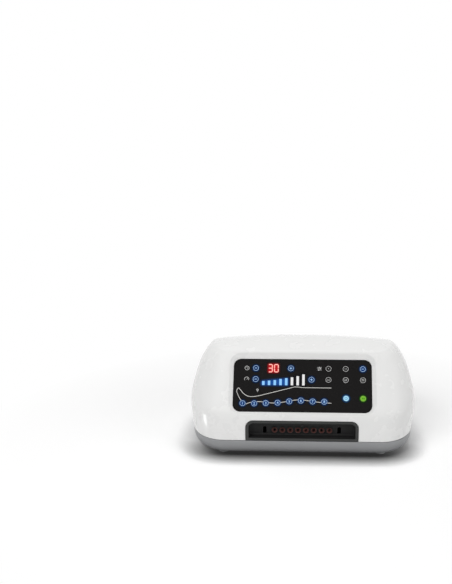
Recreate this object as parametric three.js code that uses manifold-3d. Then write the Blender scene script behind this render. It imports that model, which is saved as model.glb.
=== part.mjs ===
// Compression therapy pump: a desk-top air pump console with a sunken key panel
// and an eight-way hose bay. Lengths are millimetres, +Z is up, the front faces -Y,
// and the origin is the middle of the base, on the table.
import * as THREE from "three";
import { mergeVertices } from "three/addons/utils/BufferGeometryUtils.js";
import Module from "manifold-3d";

const wasm = await Module();
wasm.setup();

// Casing: overall sizes and the lines of its profile.
const casingWidth = 320;
const casingDepth = 220;
const tubFloorLevel = 5;
const partingLevel = 25.5;
const partingGap = 0.5;
const wall = 3;
const frontSetback = 3;
const panelFootLevel = 62.2;
const panelLean = THREE.MathUtils.degToRad(33);
const frontBend = 1.6;
const widestFromFront = 74;
const cornerReach = 52;
const rearSetback = 2;
const rearShoulder = 9;
const crestLevel = 149.6;
const crestFromFront = 92;
const crestBlend = 9;
const browSlope = THREE.MathUtils.degToRad(20);
const topFall = THREE.MathUtils.degToRad(14.6);
const crownDrop = 6.5;
const tubTuck = 14.5;

// Fits that every sub-assembly shares.
const clearance = 0.3;
const overrun = 2;

// Counts of sides and steps that round pieces are drawn with.
const roundSides = 12;
const boreSides = 7;
const portSides = 10;
const hoseSides = 8;
const footSides = 18;
const drumSides = 20;
const curveSteps = 4;
const cornerSteps = 6;
const rearSteps = 10;
const tubSteps = 5;
const flatSteps = 2;
const recessSteps = 5;
const halvings = 40;

// Key panel: the sunken border, the overlay and what it carries.
const overlayWidth = 191.5;
const overlayHeight = 75.5;
const overlayCorner = 10.5;
const overlayThickness = 1.5;
const overlayFoot = 5.3;
const recessSide = 6.25;
const recessHead = 8.2;
const recessWidth = overlayWidth + 2 * recessSide;
const recessHeight = overlayFoot + overlayHeight + recessHead;
const recessCorner = 18;
const recessDepth = 4.5;
const overlayLedge = 5;
const recessFloor = 2.4;
const keyDiameter = 8.4;
const keyFlangeRim = 1;
const keyFlange = 0.8;
const keyProud = 0.25;
const keyTravel = 0.5;
const matThickness = 1.4;
const boardThickness = 1.6;
const boardMargin = 4;

// Key rows: two hang from the overlay's upper edge, the others stand on its lower edge.
const upperRowDrop = 13.2;
const rowPitch = 16;
const upperRow = overlayHeight - upperRowDrop;
const lowerRow = upperRow - rowPitch;
const startLevel = 20.2;
const keyLevels = {
  time_minus: upperRow, time_plus: upperRow, pressure_minus: lowerRow, pressure_plus: lowerRow,
  mode_a: upperRow, mode_b: upperRow, mode_c: upperRow,
  mode_d: lowerRow, mode_e: lowerRow, mode_f: lowerRow, power: startLevel, start: startLevel,
  chamber_1: 11.7, chamber_2: 11.7, chamber_3: 12.3, chamber_4: 13,
  chamber_5: 15.1, chamber_6: 16.4, chamber_7: 15.3, chamber_8: 15.1,
};

// Key places across the overlay, from its middle, as shares of its width.
const keyAcrossShares = {
  time_minus: -0.339, time_plus: -0.085, pressure_minus: -0.339, pressure_plus: 0.065,
  mode_a: 0.188, mode_b: 0.312, mode_c: 0.436,
  mode_d: 0.188, mode_e: 0.312, mode_f: 0.436, power: 0.314, start: 0.436,
  chamber_1: -0.429, chamber_2: -0.345, chamber_3: -0.262, chamber_4: -0.177,
  chamber_5: -0.0935, chamber_6: -0.01, chamber_7: 0.0745, chamber_8: 0.158,
};
const litKeys = ["mode_c", "power", "start"];

// Time display: two seven-segment digits, and the pressure bars under them.
const digitHeight = 12.1;
const digitWidth = 6.6;
const digitPitch = 8.3;
const digitAcrossShare = -0.212;
const segmentWidth = 1.3;
const displayMargin = 1.6;
const lampProud = 0.15;
const barHeights = [5.7, 6.4, 7.2, 8.9, 10.2, 11.4, 13.2, 15.8];
const barPitchShare = 0.0414;
const barPitch = barPitchShare * overlayWidth;
const barWidth = 3.5;
const barFootDrop = 37.5;
const barFoot = overlayHeight - barFootDrop;
const barAcrossShare = -0.138;

// Hose bay in the front wall and the manifold behind it.
const bayWidth = 155;
const bayTopLevel = 53.5;
const bayCorner = 10;
const bayDepth = 14;
const baySide = 4;
const bayLip = 3.4;
const bayBack = 3;
const bayEar = 6;
const bayEarThickness = 2.5;
const portCount = 8;
const portPitch = 10.85;
const portLevel = 36.4;
const portBore = 5;
const lipDiameter = 7.9;
const lipProud = 0.7;
const bossDiameter = 10.4;
const bossProud = 1.5;
const latchFromCentre = 51.5;
const latchWidth = 4.8;
const latchHeight = 9.8;
const eyeDiameter = 3;
const eyeRise = 6;
const eyeLength = 5;
const gasketThickness = 2;
const gasketMargin = 4;
const manifoldDepth = 13;
const manifoldMargin = 3;
const barbLength = 9;
const barbDiameter = 6;
const barbBore = 3.4;
const tubeWall = 1.3;

// Feet and screws.
const footDiameter = 16.6;
const footFromSide = 50;
const footInset = 26;
const footSeat = 1.2;
const postDiameter = 11;
const screwDiameter = 3.5;
const screwHead = 6.6;
const screwHeadDepth = 2.4;
const screwLength = 26;
const pilotSpare = 3;
const wellDepth = 9;
const frontPostAcross = 132;
const frontPostFromFront = 84;
const rearPostAcross = 118;
const rearPostFromRear = 36;

// Rear panel: mains inlet, fuse holder and rocker switch.
const rearPanelWidth = 150;
const rearPanelHeight = 48;
const rearPanelFoot = 34;
const rearPanelThickness = 2.4;
const rearPanelOverlap = 4;
const rearPanelInset = 9.5;
const rearPanelPlane = casingDepth / 2 - rearPanelInset;
const inletAcrossShare = -0.307;
const inletWidth = 27.6;
const inletHeight = 20.4;
const inletDepth = 22;
const inletFloor = 7;
const inletRim = 1.7;
const inletFlange = 2;
const inletFlangeReach = 2.6;
const pinWidth = 2;
const pinHeight = 4;
const pinLength = 15;
const pinSpread = 7;
const pinStep = 4;
const pinTail = 6;
const switchAcrossShare = 0.147;
const switchDepth = 20;
const switchWidth = 14.6;
const switchHeight = 20.4;
const switchWall = 1.2;
const rockerTilt = THREE.MathUtils.degToRad(9);
const rockerHalf = 7.8;
const rockerRise = 6.2;
const rockerWaist = 3.8;
const rockerBack = 3;
const rockerBackHalf = 5;
const rockerPivot = 3;
const fuseAcrossShare = -0.08;
const fuseFlange = 1.6;
const fuseHead = 3;
const fuseSlot = 1.4;
const fuseDiameter = 12.4;
const fuseFlangeDiameter = 15.4;
const fuseHeadDiameter = 13;
const fuseLength = 26;
const ventSlot = 2.4;
const ventLength = 22;
const ventPitch = 5.6;
const ventCount = 5;
const ventAcrossShare = 0.38;
const inletAcross = inletAcrossShare * rearPanelWidth;
const switchAcross = switchAcrossShare * rearPanelWidth;
const fuseAcross = fuseAcrossShare * rearPanelWidth;
const ventAcross = ventAcrossShare * rearPanelWidth;

// Pump: a linear-motor diaphragm pump on a rubber cradle.
const pumpAcross = -44;
const pumpFromRear = 72;
const pumpLevel = 48;
const pumpLength = 84;
const pumpWidth = 66;
const pumpHeight = 56;
const headLength = 24;
const headDiameter = 60;
const headBore = 40;
const headWall = 4;
const armatureLength = 116;
const armatureWidth = 22;
const armatureThickness = 10;
const pistonDiameter = 34;
const pistonThickness = 5;
const cradlePad = 14;
const cradlePlate = 4;
const slotPlay = 0.5;
const nozzleDiameter = 7;
const nozzleLength = 7;

// Valve: a turning spool that opens one channel after another.
const valveLength = 98;
const valveDepth = 30;
const valveHeight = 26;
const valveFromFront = 60;
const spoolDiameter = 16;
const spoolBearing = 0.4;
const spoolGroove = 3;
const motorDiameter = 34;
const motorLength = 20;
const shaftDiameter = 6;
const shaftEngaged = 10;
const footRib = 8;
const valveInlets = [-30, 12];

// Boards, transformer and leads.
const mainBoardSize = [54, 92];
const mainBoardPlace = [98, -18];
const mainBoardLevel = 15;
const transformerSize = [52, 44, 46];
const transformerPlace = [74, 54];
const coilShare = 0.62;
const leadDiameter = 5;
const cableWidth = 16;
const cableFromEdge = 11.75;
const cableFromBoard = 14;
const cableThickness = 1.2;
const airHoseDiameter = 11;
const airHoseBore = 8.4;
const hoseRise = 32;
const hoseTurnShare = 0.25;
const hoseStraight = 17.5;
const hoseSteps = 11;
const socketHeight = 8;
const socketAlong = -24;
const cableBend = 14;
const cableSteps = 14;
const leadRise = 12;
const leadSteps = 12;

// Casing shape as shares: the level of each ring against its half width.
const sideShares = [
  [0, 0.9875], [0.14, 0.996], [0.28, 1], [0.37, 1], [0.46, 0.994], [0.56, 0.976],
  [0.67, 0.952], [0.77, 0.926], [0.85, 0.896], [0.91, 0.867], [0.96, 0.838], [1, 0.803],
];
const crownShares = [0.93, 0.78, 0.54, 0.26];
const edgeEaseShare = 0.3;
const widestShiftShare = 0.35;
const cornerKeepShare = 0.156;
const shoulderSharpness = 8;
const rearRoundness = 4.5;
const tubRoundness = 2.4;
// Parts on the main board: place across and along, then width, depth and height,
// all as shares of the board's width.
const boardPartShares = [
  [-0.28, 0.5, 0.3, 0.36, 0.32], [0.2, 0.56, 0.36, 0.24, 0.26], [0.22, 0.16, 0.3, 0.3, 0.14],
  [0.26, -0.3, 0.28, 0.28, 0.1], [0.26, -0.66, 0.2, 0.2, 0.24],
];

const halfWidth = casingWidth / 2;
const halfDepth = casingDepth / 2;
const postPlaces = [
  [-frontPostAcross, frontPostFromFront - halfDepth], [frontPostAcross, frontPostFromFront - halfDepth],
  [-rearPostAcross, halfDepth - rearPostFromRear], [rearPostAcross, halfDepth - rearPostFromRear],
];
const pumpBack = halfDepth - pumpFromRear;
const valveFront = valveFromFront - halfDepth;
const valveMiddle = valveFront + valveDepth / 2;
const group = new THREE.Group();

const finishes = {
  gloss_white: { color: "#e6e6e4", roughness: 0.28, metalness: 0 },
  satin_grey: { color: "#9c9d9f", roughness: 0.42, metalness: 0 },
  overlay_black: { color: "#1e1c1c", roughness: 0.22, metalness: 0 },
  bay_charcoal: { color: "#2f3031", roughness: 0.5, metalness: 0 },
  blue_lamp: { color: "#2f6fd0", roughness: 0.3, metalness: 0 },
  silicone_red: { color: "#6b3a33", roughness: 0.6, metalness: 0 },
  soft_rubber: { color: "#b9babb", roughness: 0.7, metalness: 0 },
  inner_plastic: { color: "#3a3c3f", roughness: 0.55, metalness: 0 },
  board_green: { color: "#1f5a3a", roughness: 0.5, metalness: 0 },
  plated_steel: { color: "#b8babd", roughness: 0.35, metalness: 1 },
  cast_alloy: { color: "#8f9297", roughness: 0.5, metalness: 1 },
  clear_tube: { color: "#d9dcd8", roughness: 0.35, metalness: 0 },
};

/** Turns a closed three.js geometry into a solid that can be cut and joined. */
function solidOf(geometry) {
  const bare = geometry.clone();
  for (const name of Object.keys(bare.attributes)) {
    if (name !== "position") bare.deleteAttribute(name);
  }
  const merged = mergeVertices(bare, 1e-4);
  const vertProperties = new Float32Array(merged.attributes.position.array);
  const triVerts = new Uint32Array(merged.index.array);
  return new wasm.Manifold(new wasm.Mesh({ numProp: 3, vertProperties, triVerts }));
}

/** Turns a solid back into a three.js geometry. */
function geometryOf(solid) {
  const mesh = solid.getMesh();
  const geometry = new THREE.BufferGeometry();
  geometry.setAttribute("position", new THREE.BufferAttribute(mesh.vertProperties, 3));
  geometry.setIndex(new THREE.BufferAttribute(mesh.triVerts, 1));
  geometry.computeVertexNormals();
  return geometry;
}

/** Adds one named sub-part to the model. */
function place(name, solid, finish, parent = group) {
  const material = new THREE.MeshStandardMaterial(finishes[finish]);
  const mesh = new THREE.Mesh(geometryOf(solid), material);
  mesh.name = name;
  parent.add(mesh);
}

/** Joins a list of solids into one. */
function join(solids) {
  return solids.reduce((all, solid) => all.add(solid));
}

/** A box between two corners. */
function box(low, high) {
  const size = high.map((value, axis) => value - low[axis]);
  const geometry = new THREE.BoxGeometry(...size);
  geometry.translate(...high.map((value, axis) => (value + low[axis]) / 2));
  return solidOf(geometry);
}

/** A cylinder from one point along an axis: "x", "y" or "z". */
function rod(axis, start, length, diameter, sides = roundSides) {
  const geometry = new THREE.CylinderGeometry(diameter / 2, diameter / 2, length, sides);
  geometry.translate(0, length / 2, 0);
  if (axis === "x") geometry.rotateZ(-Math.PI / 2);
  if (axis === "z") geometry.rotateX(Math.PI / 2);
  geometry.translate(...start);
  return solidOf(geometry);
}

/** A rectangle with round corners, centred on x and standing on y = foot. */
function roundedOutline(width, height, corner, foot = -height / 2) {
  const shape = new THREE.Shape();
  const side = width / 2;
  const top = foot + height;
  shape.moveTo(-side + corner, foot);
  shape.lineTo(side - corner, foot);
  shape.absarc(side - corner, foot + corner, corner, -Math.PI / 2, 0);
  shape.absarc(side - corner, top - corner, corner, 0, Math.PI / 2);
  shape.absarc(-side + corner, top - corner, corner, Math.PI / 2, Math.PI);
  shape.absarc(-side + corner, foot + corner, corner, Math.PI, 1.5 * Math.PI);
  return shape;
}

/** Extrudes an outline by a depth, from a start along its own z. */
function plate(shape, depth, start = 0, curveSegments = curveSteps) {
  const geometry = new THREE.ExtrudeGeometry(shape, { depth, curveSegments, bevelEnabled: false });
  geometry.translate(0, 0, start);
  return geometry;
}

/** A tube or ribbon: an outline carried along a smooth curve through points. */
function sweep(shape, points, steps) {
  const extrudePath = new THREE.CatmullRomCurve3(points.map((point) => new THREE.Vector3(...point)));
  const options = { steps, extrudePath, curveSegments: curveSteps, bevelEnabled: false };
  return solidOf(new THREE.ExtrudeGeometry(shape, options));
}

/** A circle with the given number of sides. */
function circleShape(diameter, sides) {
  const shape = new THREE.Shape();
  for (let side = 0; side < sides; side += 1) {
    const angle = (side / sides) * 2 * Math.PI;
    const point = [Math.cos(angle), Math.sin(angle)].map((share) => (share * diameter) / 2);
    if (side === 0) shape.moveTo(...point);
    else shape.lineTo(...point);
  }
  return shape;
}

/** Smooth version of the larger of two values. */
function blendedMax(a, b, blend) {
  return (a + b + Math.hypot(a - b, blend)) / 2;
}

/** How far back the front of the casing lies at a level. */
function frontAt(level) {
  const faceSlope = frontSetback / (panelFootLevel - partingLevel);
  const face = -halfDepth + (level - partingLevel) * faceSlope;
  const panel = -halfDepth + frontSetback + (level - panelFootLevel) * Math.tan(panelLean);
  return blendedMax(face, panel, frontBend);
}

/** Level of the top along its centre line. */
function topAt(y) {
  const fromCrest = y + halfDepth - crestFromFront;
  const apex = crestLevel + crestBlend / 2;
  const brow = apex + fromCrest * Math.tan(browSlope);
  const fall = apex - fromCrest * Math.tan(topFall);
  return -blendedMax(-brow, -fall, crestBlend);
}

/** Level where the leaning panel meets the top. */
function browLevel() {
  let low = panelFootLevel;
  let high = crestLevel;
  for (let step = 0; step < halvings; step += 1) {
    const middle = (low + high) / 2;
    if (topAt(frontAt(middle)) > middle) low = middle;
    else high = middle;
  }
  return low;
}

/** Outline of one ring, anticlockwise seen from above: points with their share front to rear. */
function ringOutline(half, front, rear, widest, flat) {
  const right = [];
  for (let step = 0; step <= flatSteps; step += 1) right.push([(flat * step) / flatSteps, front]);
  for (let step = 1; step <= cornerSteps; step += 1) {
    const angle = ((Math.PI / 2) * step) / cornerSteps;
    right.push([flat + (half - flat) * Math.sin(angle), widest - (widest - front) * Math.cos(angle)]);
  }
  for (let step = 1; step <= rearSteps; step += 1) {
    const angle = ((Math.PI / 2) * step) / rearSteps;
    const across = half * Math.max(Math.cos(angle), 0) ** (2 / rearRoundness);
    right.push([across, widest + (rear - widest) * Math.sin(angle) ** (2 / rearRoundness)]);
  }
  right[right.length - 1][0] = 0;
  const left = right.slice(1, -1).reverse().map(([x, y]) => [-x, y]);
  return [...right, ...left].map(([x, y]) => ({ x, y, share: (y - front) / (rear - front) }));
}

/** Level of the top edge at a share of the way from front to rear. */
function edgeLevel(share) {
  const front = frontAt(browLevel());
  const rear = halfDepth - rearSetback - rearShoulder;
  const ease = THREE.MathUtils.smoothstep(share, 0, edgeEaseShare);
  return topAt(front + share * (rear - front)) - crownDrop * ease;
}

/** Rings of the upper casing, drawn in by an inset, from the parting line to the crown. */
function coverRings(inset, startDrop) {
  const lean = inset / Math.cos(panelLean);
  const rings = [];
  for (const [levelShare, widthShare] of sideShares) {
    const half = halfWidth * widthShare - inset;
    const frontLevel = partingLevel + levelShare * (edgeLevel(0) - partingLevel);
    const front = frontAt(frontLevel) + lean;
    const shoulder = rearShoulder * levelShare ** shoulderSharpness;
    const rear = halfDepth - rearSetback * levelShare - shoulder - inset;
    const widest = front + widestFromFront * (1 - widestShiftShare * levelShare);
    const flat = Math.min(halfWidth - cornerReach, half - halfWidth * cornerKeepShare);
    const drop = levelShare === 0 ? startDrop : 0;
    rings.push(ringOutline(half, front, rear, widest, flat).map(({ x, y, share }) => {
      const rise = edgeLevel(share) - inset - partingLevel;
      return [x, y, partingLevel + levelShare * rise - drop];
    }));
  }
  const edge = rings[rings.length - 1];
  for (const crownShare of crownShares) {
    rings.push(edge.map(([x, y, z]) => {
      const inner = y * crownShare;
      const drop = topAt(y) - inset - z;
      return [x * crownShare, inner, topAt(inner) - inset - drop * crownShare ** 2];
    }));
  }
  return rings;
}

/** Rings of the tub, from its floor up to the parting line. */
function tubRings(inset, floor, rim) {
  const rings = [];
  for (let step = 0; step <= tubSteps; step += 1) {
    const angle = ((Math.PI / 2) * step) / tubSteps;
    const tuck = tubTuck * (1 - Math.sin(angle) ** (2 / tubRoundness)) + inset;
    const height = (rim - floor) * (1 - Math.cos(angle) ** (2 / tubRoundness));
    const half = halfWidth * sideShares[0][1] - tuck;
    const flat = halfWidth - cornerReach - tuck / 2;
    const front = -halfDepth + tuck;
    const outline = ringOutline(half, front, halfDepth - tuck, -halfDepth + widestFromFront, flat);
    rings.push(outline.map(({ x, y }) => [x, y, floor + height]));
  }
  return rings;
}

/** Every second ring of a stack with its first and last, for a hidden inner wall. */
function thinned(rings) {
  return rings.filter((ring, order) => order % 2 === 0 || order === rings.length - 1);
}

/** A solid skinned over a stack of rings with equal counts of points. */
function loft(rings) {
  const count = rings[0].length;
  const points = rings.flat();
  const index = [];
  for (let ring = 0; ring + 1 < rings.length; ring += 1) {
    for (let step = 0; step < count; step += 1) {
      const a = ring * count + step;
      const b = ring * count + ((step + 1) % count);
      index.push(a, b, b + count, a, b + count, a + count);
    }
  }
  for (const [ring, upper] of [[rings[0], false], [rings[rings.length - 1], true]]) {
    const middle = new THREE.Vector3();
    for (const point of ring) middle.add(new THREE.Vector3(...point));
    middle.divideScalar(count);
    const base = upper ? (rings.length - 1) * count : 0;
    points.push(middle.toArray());
    for (let step = 0; step < count; step += 1) {
      const next = base + ((step + 1) % count);
      const here = base + step;
      index.push(...(upper ? [here, next, points.length - 1] : [next, here, points.length - 1]));
    }
  }
  const geometry = new THREE.BufferGeometry();
  geometry.setAttribute("position", new THREE.Float32BufferAttribute(points.flat(), 3));
  geometry.setIndex(index);
  return solidOf(geometry);
}

/** Extrudes an outline drawn across and up, from one depth to another along y. */
function standing(shape, low, high, curveSegments = curveSteps) {
  const geometry = plate(shape, high - low, -high, curveSegments);
  geometry.rotateX(Math.PI / 2);
  return solidOf(geometry);
}

/** An outline with round upper corners and square lower ones, drawn across and up. */
function archOutline(width, foot, top, corner) {
  const side = width / 2;
  const shape = new THREE.Shape();
  shape.moveTo(-side, foot);
  shape.lineTo(side, foot);
  shape.absarc(side - corner, top - corner, corner, 0, Math.PI / 2);
  shape.absarc(-side + corner, top - corner, corner, Math.PI / 2, Math.PI);
  return shape;
}

// The key panel has its own axes: across, up the slope, and out of the casing.
const panel = new THREE.Group();
panel.position.set(0, -halfDepth + frontSetback, panelFootLevel);
panel.rotation.x = Math.PI / 2 - panelLean;
panel.updateMatrix();
group.add(panel);

/** A solid drawn in the panel's axes, moved to its place in the casing. */
function onPanel(geometry) {
  return solidOf(geometry.clone().applyMatrix4(panel.matrix));
}

/** One closed ring of points of an outline, at a height, in the panel's axes. */
function panelRing(shape, height) {
  const points = shape.getPoints(recessSteps);
  if (points[0].distanceTo(points[points.length - 1]) < clearance / 10) points.pop();
  return points.map(({ x, y }) => new THREE.Vector3(x, y, height).applyMatrix4(panel.matrix).toArray());
}

const overlayTop = -recessDepth;
const overlayBack = overlayTop - overlayThickness;
const floorTop = overlayBack - clearance;
const floorBack = floorTop - recessFloor;
const flangeTop = overlayBack - clearance;
const matTop = flangeTop - keyFlange - keyTravel - clearance;
const boardTop = matTop - matThickness - clearance;
const windowFoot = overlayFoot + overlayLedge;
const windowWidth = overlayWidth - 2 * overlayLedge;
const windowHeight = overlayHeight - 2 * overlayLedge;
const windowCorner = overlayCorner - overlayLedge;
const cableHead = overlayWidth / 2 - cableFromEdge;
const cableFoot = mainBoardPlace[0] - cableFromBoard;

/** The sunken border that slopes from the casing's surface to the overlay. */
function recessHollow() {
  const grow = 1 + overrun / recessDepth;
  const width = overlayWidth + 2 * clearance;
  const height = overlayHeight + 2 * clearance;
  const foot = overlayFoot - clearance;
  const headShare = grow * (recessHeight - height - foot);
  const outer = roundedOutline(
    width + grow * (recessWidth - width),
    height + grow * foot + headShare,
    overlayCorner + grow * (recessCorner - overlayCorner),
    foot - grow * foot,
  );
  const inner = roundedOutline(width, height, overlayCorner, foot);
  return loft([panelRing(inner, overlayTop), panelRing(outer, overrun)]);
}

/** The cover's thick floor behind the overlay, with its ledge and its window. */
function recessTray() {
  const shape = roundedOutline(recessWidth, recessHeight + wall, recessCorner, -wall);
  return onPanel(plate(shape, overlayTop - floorBack + wall, floorBack));
}

/** The seat of the overlay and the window in the floor behind it. */
function recessCuts() {
  const seat = roundedOutline(
    overlayWidth + 2 * clearance, overlayHeight + 2 * clearance, overlayCorner, overlayFoot - clearance,
  );
  const opening = roundedOutline(windowWidth, windowHeight, windowCorner, windowFoot);
  const seatCut = onPanel(plate(seat, overrun + overlayTop - floorTop, floorTop));
  return seatCut.add(onPanel(plate(opening, floorTop - floorBack + 2 * overrun, floorBack - overrun)));
}

/** Screw columns between a lower and an upper level, at every screw place. */
function columns(low, high, diameter) {
  return join(postPlaces.map(([x, y]) => rod("z", [x, y, low], high - low, diameter)));
}

const screwTop = tubFloorLevel + wellDepth - clearance + screwLength;
const rearSeatPlane = rearPanelPlane + rearPanelThickness + clearance;
const rearMiddle = rearPanelFoot + rearPanelHeight / 2;

/** The white upper casing. */
function topCover() {
  const outer = loft(coverRings(0, 0));
  const hollow = loft(thinned(coverRings(wall, overrun)));
  const seatReach = rearPanelOverlap + wall;
  const seat = box(
    [-rearPanelWidth / 2 - seatReach, rearSeatPlane, rearPanelFoot - seatReach],
    [rearPanelWidth / 2 + seatReach, halfDepth, rearPanelFoot + rearPanelHeight + seatReach],
  );
  const additions = join([recessTray(), columns(partingLevel, crestLevel, postDiameter), seat]);
  const rearOpening = roundedOutline(rearPanelWidth, rearPanelHeight, wall, rearPanelFoot);
  const bayOpening = archOutline(bayWidth, partingLevel - overrun, bayTopLevel, bayCorner);
  const cuts = join([
    recessHollow(),
    recessCuts(),
    standing(bayOpening, -halfDepth - overrun, -halfDepth + bayDepth),
    standing(rearOpening, rearPanelPlane - overrun, halfDepth + overrun),
    columns(partingLevel - overrun, screwTop + pilotSpare, screwDiameter + 2 * clearance),
  ]);
  return outer.subtract(hollow).add(additions.intersect(outer)).subtract(cuts);
}

/** The grey lower casing, with its screw wells, board studs and foot seats. */
function baseTub() {
  const rim = partingLevel - partingGap;
  const outer = loft(tubRings(0, tubFloorLevel, rim));
  const hollow = loft(thinned(tubRings(wall, tubFloorLevel + wall, rim + overrun)));
  const studs = boardStuds();
  const posts = columns(tubFloorLevel, rim, postDiameter);
  const wells = columns(tubFloorLevel - overrun, tubFloorLevel + wellDepth, screwHead + 2 * clearance);
  const shanks = columns(tubFloorLevel, rim + overrun, screwDiameter + 2 * clearance);
  const seats = join(footPlaces().map(([x, y]) => (
    rod("z", [x, y, tubFloorLevel - overrun], footSeat + overrun, footDiameter + 2 * clearance, footSides)
  )));
  const additions = join([studs, posts]).intersect(outer);
  return outer.subtract(hollow).add(additions).subtract(join([wells, shanks, seats]));
}

/** Middle of each foot, across and along. */
function footPlaces() {
  const along = halfDepth - footInset;
  return [-along, along].flatMap((y) => [-1, 1].map((side) => [side * (halfWidth - footFromSide), y]));
}

/** Studs on the tub's floor that carry the main board. */
function boardStuds() {
  const low = tubFloorLevel + wall / 2;
  const height = mainBoardLevel - clearance - low;
  return join([-1, 1].flatMap((across) => [-1, 1].map((along) => {
    const x = mainBoardPlace[0] + across * (mainBoardSize[0] / 2 - boardMargin);
    const y = mainBoardPlace[1] + along * (mainBoardSize[1] / 2 - boardMargin);
    return rod("z", [x, y, low], height, boardMargin + wall, portSides);
  })));
}

/** A rubber foot pressed into its seat under the tub. */
function foot([x, y]) {
  const profile = [
    [0, 0], [footDiameter / 2 - footSeat, 0], [footDiameter / 2, footSeat],
    [footDiameter / 2, tubFloorLevel + footSeat - clearance], [0, tubFloorLevel + footSeat - clearance],
  ];
  const geometry = new THREE.LatheGeometry(profile.map((point) => new THREE.Vector2(...point)), footSides);
  geometry.rotateX(Math.PI / 2);
  geometry.translate(x, y, 0);
  return solidOf(geometry);
}

/** One of the screws that hold the casing together, driven up from below. */
function casingScrew([x, y]) {
  const low = tubFloorLevel + wellDepth - clearance - screwHeadDepth;
  const head = rod("z", [x, y, low], screwHeadDepth, screwHead);
  return head.add(rod("z", [x, y, low], screwHeadDepth + screwLength, screwDiameter));
}

/** Place of a key in the panel's axes. */
function keyAt(name) {
  return [keyAcrossShares[name] * overlayWidth, overlayFoot + keyLevels[name]];
}

/** A round piece in the panel's axes, from one height to another. */
function panelRound([x, y], low, high, diameter, sides = roundSides) {
  const geometry = new THREE.CylinderGeometry(diameter / 2, diameter / 2, high - low, sides);
  geometry.rotateX(Math.PI / 2);
  geometry.translate(x, y, (low + high) / 2);
  return solidOf(geometry);
}

/** The block of the time display, grown by a margin all round. */
function timeBlock(grow, low, high) {
  const x = digitAcrossShare * overlayWidth;
  const up = overlayFoot + upperRow;
  const side = (digitPitch + digitWidth) / 2 + displayMargin + grow;
  const half = digitHeight / 2 + displayMargin + grow;
  return box([x - side, up - half, low], [x + side, up + half, high]);
}

/** The stepped block of the pressure bars, grown by a margin all round. */
function barBlock(grow, low, high) {
  const foot = overlayFoot + barFoot - displayMargin - grow;
  const across = barAcrossShare * overlayWidth;
  const right = across + (barHeights.length / 2) * barPitch + grow;
  return join(barHeights.map((height, place) => {
    const left = across + (place - barHeights.length / 2) * barPitch - grow;
    return box([left, foot, low], [right, foot + height + 2 * (displayMargin + grow), high]);
  }));
}

/** The glossy black overlay, with a hole for each key and a window for each display. */
function overlayPanel() {
  const sheet = roundedOutline(overlayWidth, overlayHeight, overlayCorner, overlayFoot);
  const blank = solidOf(plate(sheet, overlayThickness, overlayBack, cornerSteps));
  const holes = join(Object.keys(keyLevels).map((name) => (
    panelRound(keyAt(name), overlayBack - overrun, overlayTop + overrun, keyDiameter + 2 * clearance)
  )));
  const low = overlayBack - overrun;
  const high = overlayTop + overrun;
  return blank.subtract(join([holes, timeBlock(clearance, low, high), barBlock(clearance, low, high)]));
}

/** One round key: a cap through the overlay on a wider flange that holds it in. */
function key(name) {
  const cap = panelRound(keyAt(name), flangeTop - keyFlange, overlayTop + keyProud, keyDiameter);
  const flange = panelRound(keyAt(name), flangeTop - keyFlange, flangeTop, keyDiameter + 2 * keyFlangeRim);
  return cap.add(flange);
}

/** Which of the seven segments a digit lights: top, upper pair, middle, lower pair, bottom. */
const segmentSets = { 3: [1, 0, 1, 1, 0, 1, 1], 0: [1, 1, 1, 0, 1, 1, 1] };

/** The lit segments of one digit, standing just proud of the display's face. */
function digit(figure, middle) {
  const up = overlayFoot + upperRow;
  const side = (digitWidth - segmentWidth) / 2;
  const rise = (digitHeight - segmentWidth) / 2;
  const gap = segmentWidth / 4;
  const flat = [side - segmentWidth / 2 - gap, segmentWidth / 2];
  const upright = [segmentWidth / 2, rise / 2 - gap];
  const places = [
    [0, rise, flat], [-side, rise / 2, upright], [side, rise / 2, upright], [0, 0, flat],
    [-side, -rise / 2, upright], [side, -rise / 2, upright], [0, -rise, flat],
  ];
  const lit = places.filter((place, order) => segmentSets[figure][order]);
  return join(lit.map(([x, y, [across, along]]) => box(
    [middle + x - across, up + y - along, overlayTop - displayMargin],
    [middle + x + across, up + y + along, overlayTop + lampProud],
  )));
}

/** The two-digit time display. */
function timeDisplay() {
  const block = timeBlock(0, boardTop + clearance, overlayTop);
  const middle = digitAcrossShare * overlayWidth;
  const left = digit(3, middle - digitPitch / 2);
  return block.add(left).add(digit(0, middle + digitPitch / 2));
}

/** The eight pressure bars on their stepped block. */
function pressureBargraph() {
  const bars = barHeights.map((height, place) => {
    const middle = barAcrossShare * overlayWidth + (place - (barHeights.length - 1) / 2) * barPitch;
    const foot = overlayFoot + barFoot;
    return box(
      [middle - barWidth / 2, foot, overlayTop - displayMargin],
      [middle + barWidth / 2, foot + height, overlayTop + lampProud],
    );
  });
  return join([barBlock(0, boardTop + clearance, overlayTop), ...bars]);
}

/** The silicone mat that springs the keys back, cut out round the displays. */
function keyMat() {
  const trim = 2 * clearance;
  const foot = windowFoot + clearance;
  const shape = roundedOutline(windowWidth - trim, windowHeight - trim, windowCorner, foot);
  const low = matTop - matThickness;
  const cuts = timeBlock(clearance, low - overrun, matTop + overrun)
    .add(barBlock(clearance, low - overrun, matTop + overrun));
  return solidOf(plate(shape, matThickness, low)).subtract(cuts);
}

/** The circuit board behind the panel, with its cable socket. */
function displayBoard() {
  const low = boardTop - boardThickness;
  const width = windowWidth + 2 * boardMargin;
  const height = windowHeight + 2 * boardMargin;
  const shape = roundedOutline(width, height, boardMargin, windowFoot - boardMargin);
  const middle = windowFoot + windowHeight / 2;
  const socket = box(
    [cableHead - cableWidth / 2 - boardMargin, middle - boardMargin, low - boardMargin],
    [width / 2, middle + boardMargin, low + boardThickness / 2],
  );
  return solidOf(plate(shape, boardThickness, low)).add(socket);
}

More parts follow.
